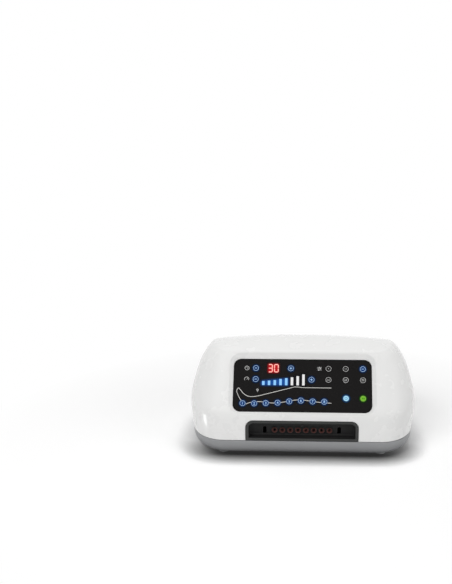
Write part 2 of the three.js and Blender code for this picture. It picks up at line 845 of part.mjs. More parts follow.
const bayBackFace = -halfDepth + bayDepth;
const bayBackRear = bayBackFace + bayBack;
const portPlaces = Array.from({ length: portCount }, (_, port) => (port - (portCount - 1) / 2) * portPitch);
const gasketFront = bayBackRear + clearance;
const manifoldFront = gasketFront + gasketThickness + clearance;
const manifoldBack = manifoldFront + manifoldDepth;
const portSpan = (portCount - 1) * portPitch;

/** Eight round pieces along y, one at each port. */
function atPorts(low, high, diameter, sides = roundSides) {
  return join(portPlaces.map((x) => rod("y", [x, low, portLevel], high - low, diameter, sides)));
}

/** The charcoal hose bay: rim, floor and back wall with its bosses and latch slots. */
function portBay() {
  const fit = 2 * clearance;
  const earPlane = frontAt(bayTopLevel) + wall / Math.cos(panelLean) + clearance;
  const earInner = bayWidth / 2 - baySide / 2;
  const earOuter = bayWidth / 2 + bayEar;
  const earTop = portLevel + bayCorner;
  const outerShape = archOutline(
    bayWidth - fit, partingLevel, bayTopLevel - clearance, bayCorner - clearance,
  );
  const innerShape = archOutline(
    bayWidth - fit - 2 * baySide, partingLevel + bayLip, bayTopLevel - bayLip, bayCorner - bayLip,
  );
  const body = standing(outerShape, -halfDepth - overrun, bayBackRear).intersect(loft(coverRings(0, 0)));
  const ears = join([-1, 1].map((side) => box(
    [Math.min(side * earOuter, side * earInner), earPlane, partingLevel + bayLip],
    [Math.max(side * earOuter, side * earInner), earPlane + bayEarThickness, earTop],
  )));
  const bosses = atPorts(bayBackFace - bossProud, bayBackFace + bayBack / 2, bossDiameter);
  const latches = join([-1, 1].map((side) => box(
    [side * latchFromCentre - latchWidth / 2, bayBackFace - overrun, portLevel - latchHeight / 2],
    [side * latchFromCentre + latchWidth / 2, bayBackRear + overrun, portLevel + latchHeight / 2],
  )));
  const cuts = join([
    latches,
    atPorts(bayBackFace - bossProud - overrun, bayBackRear + overrun, lipDiameter + fit),
    rod("y", [0, bayBackFace - overrun, portLevel + eyeRise], bayBack + 2 * overrun, eyeDiameter + fit),
  ]);
  const hollow = standing(innerShape, -halfDepth - 2 * overrun, bayBackFace);
  return body.subtract(hollow).add(ears).add(bosses).subtract(cuts);
}

/** The silicone gasket: a strip with eight lips that reach out through the bay's back wall. */
function portGasket() {
  const side = portSpan / 2 + lipDiameter / 2 + gasketMargin / 2;
  const half = lipDiameter / 2 + clearance;
  const strip = box(
    [-side, gasketFront, portLevel - half], [side, gasketFront + gasketThickness, portLevel + half],
  );
  const lipFace = bayBackFace - bossProud - lipProud;
  const lips = atPorts(lipFace, gasketFront + gasketThickness / 2, lipDiameter);
  const bores = atPorts(lipFace - overrun, manifoldFront + overrun, portBore, portSides);
  return strip.add(lips).subtract(bores);
}

/** The port manifold behind the gasket, with a barb for each channel tube. */
function portManifold() {
  const side = portSpan / 2 + lipDiameter / 2 + manifoldMargin;
  const half = lipDiameter / 2 + manifoldMargin;
  const block = box([-side, manifoldFront, portLevel - half], [side, manifoldBack, portLevel + half]);
  const barbs = atPorts(manifoldBack - overrun, manifoldBack + barbLength, barbDiameter, boreSides);
  const mouths = atPorts(manifoldFront - overrun, manifoldFront + manifoldDepth / 2, portBore, portSides);
  const bores = atPorts(manifoldFront, manifoldBack + barbLength + overrun, barbBore, boreSides);
  return block.add(barbs).subtract(mouths).subtract(bores);
}

/** The receiver eye for a remote control, set in the bay's back wall. */
function irReceiver() {
  return rod("y", [0, bayBackFace - clearance, portLevel + eyeRise], eyeLength, eyeDiameter);
}

/** The eight channel tubes between the valve's barbs and the manifold's, bonded side by side. */
function channelTubes() {
  const low = manifoldBack + clearance;
  const high = valveFront - clearance;
  const bore = barbDiameter + 2 * clearance;
  const web = box(
    [-portSpan / 2, low + barbLength, portLevel - tubeWall / 2],
    [portSpan / 2, high - barbLength, portLevel + tubeWall / 2],
  );
  const tubes = atPorts(low, high, bore + 2 * tubeWall, boreSides + 1).add(web);
  return tubes.subtract(atPorts(low - overrun, high + overrun, bore, boreSides + 1));
}

/** The valve body: a bored block on two legs, with eight outlets and two inlets. */
function valveBody() {
  const half = valveLength / 2;
  const low = portLevel - valveHeight / 2;
  const block = box([-half, valveFront, low], [half, valveFront + valveDepth, low + valveHeight]);
  const legs = join([-1, 1].map((side) => box(
    [side * (half - footRib) - footRib / 2, valveFront + footRib / 2, tubFloorLevel + wall + clearance],
    [side * (half - footRib) + footRib / 2, valveFront + valveDepth - footRib / 2, low + overrun],
  )));
  const outlets = atPorts(valveFront - barbLength, valveFront + overrun, barbDiameter, boreSides);
  const passages = atPorts(valveFront - barbLength - overrun, valveMiddle, barbBore, boreSides);
  const top = portLevel + valveHeight / 2;
  const inlets = join(valveInlets.map((x) => (
    rod("z", [x, valveMiddle, top - overrun], nozzleLength + overrun, nozzleDiameter, boreSides)
  )));
  const feeds = join(valveInlets.map((x) => (
    rod("z", [x, valveMiddle, portLevel], valveHeight / 2 + nozzleLength + overrun, barbBore, boreSides)
  )));
  const spoolBore = rod("x", [-half - overrun, valveMiddle, portLevel], valveLength + 2 * overrun,
    spoolDiameter + 2 * spoolBearing, drumSides);
  return join([block, legs, outlets, inlets]).subtract(join([passages, feeds, spoolBore]));
}

/** The spool: a drum with one slot for each channel, each at its own angle, and its drive shaft. */
function valveRotor() {
  const half = valveLength / 2;
  const drum = rod("x", [-half, valveMiddle, portLevel], valveLength, spoolDiameter, drumSides);
  const shaft = rod("x", [half - overrun, valveMiddle, portLevel], shaftEngaged + overrun, shaftDiameter);
  const slots = portPlaces.map((x, port) => {
    const slot = new THREE.BoxGeometry(portBore, spoolGroove, spoolDiameter);
    slot.translate(0, 0, spoolDiameter - spoolGroove / 2);
    slot.rotateX((port / portCount) * 2 * Math.PI);
    slot.translate(x, valveMiddle, portLevel);
    return solidOf(slot);
  });
  return drum.add(shaft).subtract(join(slots));
}

/** The gear motor that turns the spool, on its foot. */
function valveMotor() {
  const start = valveLength / 2 + clearance;
  const can = rod("x", [start, valveMiddle, portLevel], motorLength, motorDiameter, drumSides);
  const stand = box(
    [start, valveMiddle - motorDiameter / 4, tubFloorLevel + wall + clearance],
    [start + footRib, valveMiddle + motorDiameter / 4, portLevel],
  );
  const bore = rod("x", [start - overrun, valveMiddle, portLevel], shaftEngaged + 2 * overrun,
    shaftDiameter + 2 * clearance);
  return can.add(stand).subtract(bore);
}

/** The pump's stator block, with the slot that its armature slides in. */
function pumpHousing() {
  const half = pumpLength / 2;
  const block = box(
    [pumpAcross - half, pumpBack - pumpWidth / 2, pumpLevel - pumpHeight / 2],
    [pumpAcross + half, pumpBack + pumpWidth / 2, pumpLevel + pumpHeight / 2],
  );
  const side = armatureWidth / 2 + slotPlay;
  const rise = armatureThickness / 2 + slotPlay;
  const slot = box(
    [pumpAcross - half - overrun, pumpBack - side, pumpLevel - rise],
    [pumpAcross + half + overrun, pumpBack + side, pumpLevel + rise],
  );
  return block.subtract(slot);
}

/** One pump head: a cup over the diaphragm, with its outlet on top. */
function pumpHead(side) {
  const near = pumpAcross + side * (pumpLength / 2 + clearance);
  const far = near + side * headLength;
  const low = Math.min(near, far);
  const cup = rod("x", [low, pumpBack, pumpLevel], headLength, headDiameter, drumSides);
  const outlet = rod("z", [(near + far) / 2, pumpBack, pumpLevel + headBore / 2 + headWall],
    headDiameter / 2 - headBore / 2 - headWall + nozzleLength, nozzleDiameter, boreSides);
  const boreStart = side > 0 ? low - overrun : low + headWall;
  const boreLength = headLength - headWall + overrun;
  const bore = rod("x", [boreStart, pumpBack, pumpLevel], boreLength, headBore, drumSides);
  const middle = (near + far) / 2;
  const passage = rod("z", [middle, pumpBack, pumpLevel], headDiameter + nozzleLength, barbBore, boreSides);
  return cup.add(outlet).subtract(bore.add(passage));
}

/** The armature: a magnet bar with a diaphragm disc on each end. */
function pumpArmature() {
  const half = armatureLength / 2;
  const bar = box(
    [pumpAcross - half, pumpBack - armatureWidth / 2, pumpLevel - armatureThickness / 2],
    [pumpAcross + half, pumpBack + armatureWidth / 2, pumpLevel + armatureThickness / 2],
  );
  const discs = join([-1, 1].map((side) => {
    const start = pumpAcross + side * half - (side > 0 ? pistonThickness : 0);
    return rod("x", [start, pumpBack, pumpLevel], pistonThickness, pistonDiameter, drumSides);
  }));
  return bar.add(discs);
}

/** The rubber cradle under the pump: a plate with four pads. */
function pumpCradle() {
  const low = tubFloorLevel + wall + clearance;
  const high = pumpLevel - pumpHeight / 2 - clearance;
  const side = pumpLength / 2;
  const half = pumpWidth / 2;
  const base = box(
    [pumpAcross - side, pumpBack - half, low],
    [pumpAcross + side, pumpBack + half, low + cradlePlate],
  );
  const pads = [-1, 1].flatMap((across) => [-1, 1].map((along) => {
    const x = pumpAcross + across * (side - cradlePad / 2);
    const y = pumpBack + along * (half - cradlePad / 2);
    return rod("z", [x, y, low], high - low, cradlePad);
  }));
  return join([base, ...pads]);
}

/** The plate that carries the mains parts, with its vent slots. */
function rearPanel() {
  const reach = rearPanelOverlap;
  const sheet = roundedOutline(
    rearPanelWidth + 2 * reach, rearPanelHeight + 2 * reach, wall, rearPanelFoot - reach,
  );
  const blank = standing(sheet, rearPanelPlane, rearPanelPlane + rearPanelThickness);
  const low = rearPanelPlane - overrun;
  const high = rearSeatPlane + overrun;
  const vents = join(Array.from({ length: ventCount }, (_, slot) => {
    const x = ventAcross + (slot - (ventCount - 1) / 2) * ventPitch;
    return rearBlock(x, ventSlot, ventLength, low, high);
  }));
  const fit = 2 * clearance;
  return blank.subtract(join([
    rearBlock(inletAcross, inletWidth + fit, inletHeight + fit, low, high),
    rearBlock(switchAcross, switchWidth + fit, switchHeight + fit, low, high),
    rod("y", [fuseAcross, low, rearMiddle], high - low, fuseDiameter + fit),
    vents,
  ]));
}

/** A block on the rear panel's middle line, from one depth to another. */
function rearBlock(across, width, height, low, high) {
  return box(
    [across - width / 2, low, rearMiddle - height / 2],
    [across + width / 2, high, rearMiddle + height / 2],
  );
}

/** Three pins' blocks, grown by a margin, from one depth to another. */
function pinBlocks(grow, low, high) {
  const places = [[-pinSpread, -pinStep / 2], [pinSpread, -pinStep / 2], [0, pinStep / 2]];
  return join(places.map(([across, up]) => box(
    [inletAcross + across - pinWidth / 2 - grow, low, rearMiddle + up - pinHeight / 2 - grow],
    [inletAcross + across + pinWidth / 2 + grow, high, rearMiddle + up + pinHeight / 2 + grow],
  )));
}

/** The mains inlet: a deep socket with a rim that stands on the rear panel. */
function inletHousing() {
  const back = rearSeatPlane - inletDepth;
  const face = rearSeatPlane + inletFlange;
  const body = rearBlock(inletAcross, inletWidth, inletHeight, back, face);
  const reach = 2 * inletFlangeReach;
  const rim = rearBlock(inletAcross, inletWidth + reach, inletHeight + reach, rearSeatPlane, face);
  const inside = [inletWidth - 2 * inletRim, inletHeight - 2 * inletRim];
  const socket = rearBlock(inletAcross, ...inside, back + inletFloor, face + overrun);
  const pinHoles = pinBlocks(clearance, back - overrun, back + inletFloor + overrun);
  return body.add(rim).subtract(socket).subtract(pinHoles);
}

/** The three pins of the mains inlet, on the carrier that holds them from behind. */
function inletPins() {
  const back = rearSeatPlane - inletDepth;
  const side = 2 * pinSpread + 2 * pinWidth;
  const carrier = rearBlock(inletAcross, side, side / 2, back - pinTail / 2, back - clearance);
  return pinBlocks(0, back - pinTail, back + inletFloor + pinLength).add(carrier);
}

/** The switch's frame, with its two tabs behind. */
function rockerFrame() {
  const back = rearSeatPlane - switchDepth;
  const face = rearSeatPlane + inletFlange;
  const body = rearBlock(switchAcross, switchWidth, switchHeight, back, face);
  const reach = 2 * inletFlangeReach;
  const rim = rearBlock(switchAcross, switchWidth + reach, switchHeight + reach, rearSeatPlane, face);
  const inside = [switchWidth - 2 * switchWall, switchHeight - 2 * switchWall];
  const well = rearBlock(switchAcross, ...inside, back + inletFloor, face + overrun);
  return body.add(rim).subtract(well);
}

/** The rocker itself, a shallow vee that tips about a pin across its middle. */
function rockerSwitch() {
  const shape = new THREE.Shape([
    [-rockerBackHalf, -rockerBack], [rockerBackHalf, -rockerBack], [rockerHalf, rockerRise],
    [0, rockerWaist], [-rockerHalf, rockerRise],
  ].map((point) => new THREE.Vector2(...point)));
  const width = switchWidth - 2 * switchWall - 2 * clearance;
  const geometry = plate(shape, width, -width / 2);
  geometry.rotateY(-Math.PI / 2);
  geometry.rotateX(rockerTilt);
  geometry.translate(switchAcross, rearSeatPlane - rockerPivot, rearMiddle);
  return solidOf(geometry);
}

/** The fuse holder, a flanged barrel through the rear panel with a slotted cap. */
function fuseHolder() {
  const back = rearSeatPlane - fuseLength;
  const face = rearSeatPlane + fuseFlange;
  const barrel = rod("y", [fuseAcross, back, rearMiddle], face - back, fuseDiameter);
  const flange = rod("y", [fuseAcross, rearSeatPlane, rearMiddle], fuseFlange, fuseFlangeDiameter);
  const capLength = fuseFlange + fuseHead;
  const head = rod("y", [fuseAcross, face - fuseFlange, rearMiddle], capLength, fuseHeadDiameter);
  const slot = rearBlock(
    fuseAcross, fuseHeadDiameter + overrun, fuseSlot, face + fuseHead - fuseSlot, face + fuseHead + overrun,
  );
  return join([barrel, flange, head]).subtract(slot);
}

/** The main circuit board with the parts that stand on it. */
function mainBoard() {
  const [width, length] = mainBoardSize;
  const [x, y] = mainBoardPlace;
  const top = mainBoardLevel + boardThickness;
  const sheet = box([x - width / 2, y - length / 2, mainBoardLevel], [x + width / 2, y + length / 2, top]);
  const parts = boardPartShares.map(([across, along, wide, deep, tall]) => box(
    [x + (across - wide / 2) * width, y + (along - deep / 2) * width, mainBoardLevel + boardThickness / 2],
    [x + (across + wide / 2) * width, y + (along + deep / 2) * width, top + tall * width],
  ));
  const side = cableWidth / 2 + cableThickness;
  const socket = box(
    [cableFoot - side, socketAlong - boardMargin, top - boardThickness / 2],
    [cableFoot + side, socketAlong + boardMargin, top + socketHeight],
  );
  return join([sheet, socket, ...parts]);
}

/** The mains transformer: a laminated core round its coil. */
function transformer() {
  const [width, depth, height] = transformerSize;
  const [x, y] = transformerPlace;
  const low = tubFloorLevel + wall + clearance;
  const middle = low + height / 2;
  const halfCore = (depth * coilShare) / 2;
  const halfCoil = (height * coilShare) / 2;
  const core = box([x - width / 2, y - halfCore, low], [x + width / 2, y + halfCore, low + height]);
  const coil = box(
    [x - (width * coilShare) / 2, y - depth / 2, middle - halfCoil],
    [x + (width * coilShare) / 2, y + depth / 2, middle + halfCoil],
  );
  return core.add(coil);
}

/** The lead from the switch to the transformer. */
function powerLead() {
  const start = rearSeatPlane - switchDepth - clearance;
  const [x, y] = transformerPlace;
  const end = tubFloorLevel + wall + transformerSize[2] + 2 * clearance;
  return sweep(circleShape(leadDiameter, hoseSides), [
    [switchAcross, start, rearMiddle],
    [switchAcross, start - leadDiameter, rearMiddle],
    [(switchAcross + x) / 2, (start + y) / 2, end + leadRise],
    [x, y, end + leadDiameter],
    [x, y, end],
  ], leadSteps);
}

/** The ribbon cable from the main board up to the display board. */
function flatCable() {
  const half = cableWidth / 2;
  const thin = cableThickness / 2;
  const corners = [[-half, -thin], [half, -thin], [half, thin], [-half, thin]];
  const ribbon = new THREE.Shape(corners.map((point) => new THREE.Vector2(...point)));
  const back = boardTop - boardThickness - boardMargin - clearance;
  const middle = windowFoot + windowHeight / 2;
  const end = new THREE.Vector3(cableHead, middle, back).applyMatrix4(panel.matrix);
  const before = new THREE.Vector3(cableHead, middle, back - cableBend).applyMatrix4(panel.matrix);
  const start = mainBoardLevel + boardThickness + socketHeight + clearance;
  return sweep(ribbon, [
    [cableFoot, socketAlong, start],
    [cableFoot, socketAlong, start + cableBend],
    [(cableFoot + cableHead) / 2, socketAlong - cableBend / 2, (start + cableBend + before.z) / 2],
    before.toArray(),
    end.toArray(),
  ], cableSteps);
}

/** An air hose from one pump head over to its inlet on the valve. */
function airHose(side, inlet) {
  const x = pumpAcross + side * (pumpLength / 2 + clearance + headLength / 2);
  const start = pumpLevel + headDiameter / 2 + clearance;
  const end = portLevel + valveHeight / 2 + clearance;
  const wallShape = circleShape(airHoseDiameter, hoseSides);
  wallShape.holes.push(circleShape(airHoseBore, hoseSides));
  const over = (share) => [
    THREE.MathUtils.lerp(x, inlet, share),
    THREE.MathUtils.lerp(pumpBack, valveMiddle, share),
    start + hoseRise,
  ];
  return sweep(wallShape, [
    [x, pumpBack, start],
    [x, pumpBack, start + hoseStraight],
    over(hoseTurnShare),
    over(1 - hoseTurnShare),
    [inlet, valveMiddle, end + hoseStraight],
    [inlet, valveMiddle, end],
  ], hoseSteps);
}

place("top_cover", topCover(), "gloss_white");
place("base_tub", baseTub(), "satin_grey");
place("rear_panel", rearPanel(), "bay_charcoal");
["front_left", "front_right", "rear_left", "rear_right"].forEach((corner, order) => {
  place(`screw_${corner}`, casingScrew(postPlaces[order]), "plated_steel");
  place(`foot_${corner}`, foot(footPlaces()[order]), "soft_rubber");
});

place("overlay_panel", overlayPanel(), "overlay_black", panel);
for (const name of Object.keys(keyLevels)) {
  place(`key_${name}`, key(name), litKeys.includes(name) ? "blue_lamp" : "overlay_black", panel);
}
place("time_display", timeDisplay(), "bay_charcoal", panel);
place("pressure_bargraph", pressureBargraph(), "bay_charcoal", panel);
place("key_mat", keyMat(), "soft_rubber", panel);
place("display_board", displayBoard(), "board_green", panel);

place("port_bay", portBay(), "bay_charcoal");
place("port_gasket", portGasket(), "silicone_red");
place("port_manifold", portManifold(), "inner_plastic");
place("ir_receiver", irReceiver(), "overlay_black");
place("channel_tubes", channelTubes(), "clear_tube");
place("valve_body", valveBody(), "inner_plastic");
place("valve_rotor", valveRotor(), "clear_tube");
place("valve_motor", valveMotor(), "plated_steel");

place("pump_housing", pumpHousing(), "cast_alloy");
place("pump_head_left", pumpHead(-1), "inner_plastic");
place("pump_head_right", pumpHead(1), "inner_plastic");
place("pump_armature", pumpArmature(), "plated_steel");
place("pump_cradle", pumpCradle(), "soft_rubber");
place("air_hose_left", airHose(-1, valveInlets[0]), "clear_tube");
place("air_hose_right", airHose(1, valveInlets[1]), "clear_tube");

place("inlet_housing", inletHousing(), "inner_plastic");
place("inlet_pins", inletPins(), "plated_steel");
place("rocker_frame", rockerFrame(), "inner_plastic");
place("rocker_switch", rockerSwitch(), "overlay_black");
place("fuse_holder", fuseHolder(), "inner_plastic");
place("main_board", mainBoard(), "board_green");
place("transformer", transformer(), "cast_alloy");
place("power_lead", powerLead(), "overlay_black");
place("flat_cable", flatCable(), "clear_tube");

export default group;
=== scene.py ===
"""Looks of a compression therapy pump: a desk-top console with a sunken key panel and a hose bay.

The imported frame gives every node's place. This script dresses it: it models the visible pieces
finer, prints the key panel, gives each surface its finish and sets up a plain studio.
Sizes are millimetres until a mesh is handed over, and metres after that.
"""
from __future__ import annotations

import logging
import math
from collections.abc import Callable, Iterable, Sequence
from dataclasses import dataclass, field, replace
from enum import Enum

import bmesh
import bpy
from mathutils import Matrix, Vector
from mathutils.bvhtree import BVHTree


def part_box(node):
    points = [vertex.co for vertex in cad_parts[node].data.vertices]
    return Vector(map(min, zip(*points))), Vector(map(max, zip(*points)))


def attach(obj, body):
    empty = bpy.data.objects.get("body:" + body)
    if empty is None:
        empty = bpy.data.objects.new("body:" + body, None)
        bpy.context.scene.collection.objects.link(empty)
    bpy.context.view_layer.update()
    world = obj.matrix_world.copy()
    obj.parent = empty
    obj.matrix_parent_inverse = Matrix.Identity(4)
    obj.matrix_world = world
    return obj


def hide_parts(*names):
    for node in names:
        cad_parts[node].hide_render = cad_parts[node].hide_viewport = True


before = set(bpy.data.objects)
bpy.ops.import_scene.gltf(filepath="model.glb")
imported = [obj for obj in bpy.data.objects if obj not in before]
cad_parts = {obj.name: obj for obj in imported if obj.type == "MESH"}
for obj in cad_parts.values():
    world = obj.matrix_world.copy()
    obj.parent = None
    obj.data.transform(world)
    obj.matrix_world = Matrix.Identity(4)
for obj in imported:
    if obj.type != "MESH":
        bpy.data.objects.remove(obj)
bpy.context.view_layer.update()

LOG = logging.getLogger("console")
MM = 0.001
Mesh = bmesh.types.BMesh
Tree = bpy.types.NodeTree
Socket = bpy.types.NodeSocket
Loop = list[Vector]
Pair = tuple[float, float]
Triple = tuple[float, float, float]
FlatLoop = Sequence[Pair]
Colour = tuple[float, float, float, float]
Sockets = dict[str, object]
CORNERS = ("front_left", "front_right", "rear_left", "rear_right")
BLACK = (0.0, 0.0, 0.0, 1.0)
WHITE = (1.0, 1.0, 1.0, 1.0)
# Raw noise hardly leaves the first span. The second leaves out its darker part.
CLOUD_SPAN = (0.25, 0.75)
DUST_SPAN = (0.45, 0.75)


def linear(hex_colour: str, factor: float = 1.0) -> Colour:
    """Turns an sRGB hex colour into linear values.

    Args:
        hex_colour: The colour as "#rrggbb".
        factor: What the three values are multiplied by.

    Returns:
        Linear red, green and blue, with 1 behind them for alpha.
    """
    channels = [int(hex_colour[start:start + 2], 16) / 255 for start in (1, 3, 5)]
    low, high = [[c / 12.92 for c in channels], [((c + 0.055) / 1.055) ** 2.4 for c in channels]]
    red, green, blue = [dark if c <= 0.04045 else bright for c, dark, bright in zip(channels, low, high)]
    return red * factor, green * factor, blue * factor, 1.0


def add_node(
    tree: Tree, kind: str, inputs: dict | None = None, out: str | int = 0, **settings: object,
) -> Socket:
    """Adds one shader node with its settings and links.

    Args:
        tree: The node tree to add to.
        kind: The node's type without its first words, such as "TexNoise".
        inputs: Socket name or number to a value, or to the output socket that feeds it.
        out: Name or number of the output that is wanted.
        settings: Attributes of the node itself.

    Returns:
        The output socket that is wanted.
    """
    node = tree.nodes.new(f"ShaderNode{kind}")
    for name, value in settings.items():
        setattr(node, name, value)
    for socket, value in (inputs or {}).items():
        if isinstance(value, bpy.types.NodeSocket):
            tree.links.new(value, node.inputs[socket])
        else:
            node.inputs[socket].default_value = value
    return node.outputs[out]


def blank_material(name: str) -> tuple[bpy.types.Material, Tree, Socket]:
    """Starts a material.

    Args:
        name: The material's name.

    Returns:
        The material, its emptied node tree and the socket of its surface.
    """
    material = bpy.data.materials.new(name)
    material.use_nodes = True
    tree = material.node_tree
    tree.nodes.clear()
    output = tree.nodes.new("ShaderNodeOutputMaterial")
    return material, tree, output.inputs["Surface"]


def per_metre(size: float) -> float:
    """Returns the scale of a texture whose cells measure a size in millimetres."""
    return 1 / (size * MM)


def uneven(
    tree: Tree, size: float, detail: float = 2.0, low: float = 0.0, high: float = 1.0,
    span: Pair = CLOUD_SPAN,
) -> Socket:
    """Adds soft clouds of a real size on the piece's own coordinates, spread over a range.

    Args:
        tree: The node tree to add to.
        size: Size of a cloud in millimetres.
        detail: Octaves of finer clouds.
        low: Value at the span's low end.
        high: Value at the span's high end.
        span: The stretch of the raw noise that is spread out.

    Returns:
        The value socket.
    """
    place = add_node(tree, "TexCoord", out="Object")
    cells = {"Vector": place, "Scale": per_metre(size), "Detail": detail}
    clouds = add_node(tree, "TexNoise", cells)
    spread = {"Value": clouds, "From Min": span[0], "From Max": span[1], "To Min": low, "To Max": high}
    return add_node(tree, "MapRange", spread)


def mottled(
    tree: Tree, colour: str, play: float, size: float, detail: float = 2.0, level: float = 1.0,
) -> Socket:
    """Adds a colour that is a little darker in clouds.

    Args:
        tree: The node tree to add to.
        colour: The full colour in hex.
        play: Share of its brightness that it loses where it is darkest.
        size: Size of a cloud in millimetres.
        detail: Octaves of finer clouds.
        level: Brightness of the whole.

    Returns:
        The colour socket.
    """
    dark, full = linear(colour, (1 - play) * level), linear(colour, level)
    tones = {"Factor": uneven(tree, size, detail), 6: dark, 7: full}
    return add_node(tree, "Mix", tones, data_type="RGBA", out=2)


def grain(tree: Tree, size: float, depth: float) -> Socket:
    """Adds a fine relief of clouds.

    Args:
        tree: The node tree to add to.
        size: Size of a cloud in millimetres.
        depth: Depth of the relief in millimetres.

    Returns:
        The normal socket.
    """
    relief = {"Height": uneven(tree, size, span=(0.0, 1.0)), "Distance": depth * MM, "Strength": 1.0}
    return add_node(tree, "Bump", relief)


@dataclass(frozen=True)
class Finish:
    """A surface finish. Each kind names the sockets of one shader, and this builds it."""

    name: str

    def sockets(self, tree: Tree) -> Sockets:
        """Adds the finish's patterns to a tree and returns what goes into the shader."""
        raise NotImplementedError

    def material(self) -> bpy.types.Material:
        """Builds the material.

        Returns:
            The material.
        """
        material, tree, surface = blank_material(self.name)
        shader = add_node(tree, "BsdfPrincipled", self.sockets(tree))
        tree.links.new(shader, surface)
        return material


@dataclass(frozen=True)
class MouldedPlastic(Finish):
    """Injection-moulded plastic such as ABS: a polished or textured skin from the mould.

    The eye gets an almost even colour, a faint flow mottle, and highlights that a
    fine grain breaks up; the coat is the sharper sheen of a polished mould.
    """

    colour: str
    roughness: float = 0.35
    mottle: float = 0.03
    mottle_size: float = 30.0
    grain_size: float = 0.7
    grain_depth: float = 0.01
    roughness_play: float = 0.05
    coat: float = 0.0
    coat_roughness: float = 0.08
    specular: float = 0.5

    def sockets(self, tree: Tree) -> Sockets:
        """Returns the shader's sockets: mottle, smears and grain.

        Args:
            tree: The node tree to add to.

        Returns:
            The values of the shader's sockets.
        """
        low, high = self.roughness - self.roughness_play, self.roughness + self.roughness_play
        return {
            "Base Color": mottled(tree, self.colour, self.mottle, self.mottle_size),
            "Roughness": uneven(tree, self.mottle_size / 3, 3, low, high),
            "Specular IOR Level": self.specular,
            "Coat Weight": self.coat,
            "Coat Roughness": self.coat_roughness,
            "Normal": grain(tree, self.grain_size, self.grain_depth),
        }


@dataclass(frozen=True)
class TexturedPlastic(Finish):
    """Spark-eroded mould texture on plastic: small round pits, dull but with a soft sheen.

    The eye gets a dark matt skin whose grain sparkles a little where light grazes it.
    """

    colour: str
    roughness: float = 0.5
    pit_size: float = 0.9
    pit_depth: float = 0.03
    tone_play: float = 0.12
    specular: float = 0.2
    tone_size: float = 3.0
    smear_size: float = 6.0
    roughness_play: float = 0.06

    def sockets(self, tree: Tree) -> Sockets:
        """Returns the shader's sockets: tones, smears and pits.

        Args:
            tree: The node tree to add to.

        Returns:
            The values of the shader's sockets.
        """
        low, high = self.roughness - self.roughness_play, self.roughness + self.roughness_play
        place = add_node(tree, "TexCoord", out="Object")
        cells = {"Vector": place, "Scale": per_metre(self.pit_size)}
        pits = add_node(tree, "TexVoronoi", cells, feature="SMOOTH_F1")
        relief = {"Height": pits, "Distance": self.pit_depth * MM, "Strength": 1.0}
        return {
            "Base Color": mottled(tree, self.colour, self.tone_play, self.tone_size, 3),
            "Roughness": uneven(tree, self.smear_size, 2, low, high),
            "Specular IOR Level": self.specular,
            "Normal": add_node(tree, "Bump", relief),
        }


@dataclass(frozen=True)
class Rubber(Finish):
    """Moulded silicone or rubber: soft and dull, with a little light let through.

    The eye gets a matt skin with a powdery sheen and a slight unevenness of tone.
    """

    colour: str
    roughness: float = 0.7
    softness: float = 0.1
    bloom: float = 0.15
    tone_play: float = 0.14
    tone_size: float = 5.0
    smear_size: float = 2.0
    roughness_play: float = 0.08
    grain_size: float = 0.5
    grain_depth: float = 0.02

    def sockets(self, tree: Tree) -> Sockets:
        """Returns the shader's sockets: tones, smears, sheen and grain.

        Args:
            tree: The node tree to add to.

        Returns:
            The values of the shader's sockets.
        """
        low, high = self.roughness - self.roughness_play, self.roughness + self.roughness_play
        return {
            "Base Color": mottled(tree, self.colour, self.tone_play, self.tone_size, 4),
            "Roughness": uneven(tree, self.smear_size, 2, low, high),
            "Subsurface Weight": self.softness,
            "Subsurface Radius": (0.002, 0.0015, 0.0012),
            "Sheen Weight": self.bloom,
            "Normal": grain(tree, self.grain_size, self.grain_depth),
        }


class Working(Enum):
    """How a metal surface was worked, which sets its pattern."""

    PLATED = "plated"
    CAST = "cast"
    LAMINATED = "laminated"


@dataclass(frozen=True)
class Metal(Finish):
    """Bare or plated metal.

    Plated steel and brass show faint drawing lines, a casting shows a pebbled skin, and
    laminated core steel shows the edges of its stamped sheets.
    """

    colour: str
    roughness: float
    working: Working = Working.PLATED
    sheet_thickness: float = 0.5
    tone_play: float = 0.12
    tone_size: float = 9.0
    roughness_play: float = 0.07

    def relief(self, tree: Tree) -> tuple[Socket, float]:
        """Adds the pattern that the working left on the surface.

        Args:
            tree: The node tree to add to.

        Returns:
            The pattern's height and its depth in millimetres.
        """
        place = add_node(tree, "TexCoord", out="Object")
        if self.working is Working.LAMINATED:
            wave = per_metre(self.sheet_thickness) / (2 * math.pi)
            bands = {"Vector": place, "Scale": wave, "Distortion": 0.4}
            sheets = add_node(tree, "TexWave", bands, "Fac", wave_type="BANDS", bands_direction="Y")
            return sheets, 0.12
        if self.working is Working.CAST:
            stretch, size, detail, depth = 1.0, 1.2, 4.0, 0.06
        else:
            stretch, size, detail, depth = 14.0, 1.5, 3.0, 0.004
        drawn = add_node(tree, "Mapping", {"Vector": place, "Scale": (1.0, 1.0, stretch)})
        skin_marks = {"Vector": drawn, "Scale": per_metre(size), "Detail": detail}
        return add_node(tree, "TexNoise", skin_marks), depth

    def sockets(self, tree: Tree) -> Sockets:
        """Returns the shader's sockets: tones, and the working in sheen and relief.

        Args:
            tree: The node tree to add to.

        Returns:
            The values of the shader's sockets.
        """
        height, depth = self.relief(tree)
        polish = {
            "Value": height, "From Min": CLOUD_SPAN[0], "From Max": CLOUD_SPAN[1],
            "To Min": self.roughness - self.roughness_play, "To Max": self.roughness + self.roughness_play,
        }
        relief = {"Height": height, "Distance": depth * MM, "Strength": 1.0}
        return {
            "Base Color": mottled(tree, self.colour, self.tone_play, self.tone_size, 3),
            "Metallic": 1.0,
            "Roughness": add_node(tree, "MapRange", polish),
            "Normal": add_node(tree, "Bump", relief),
        }


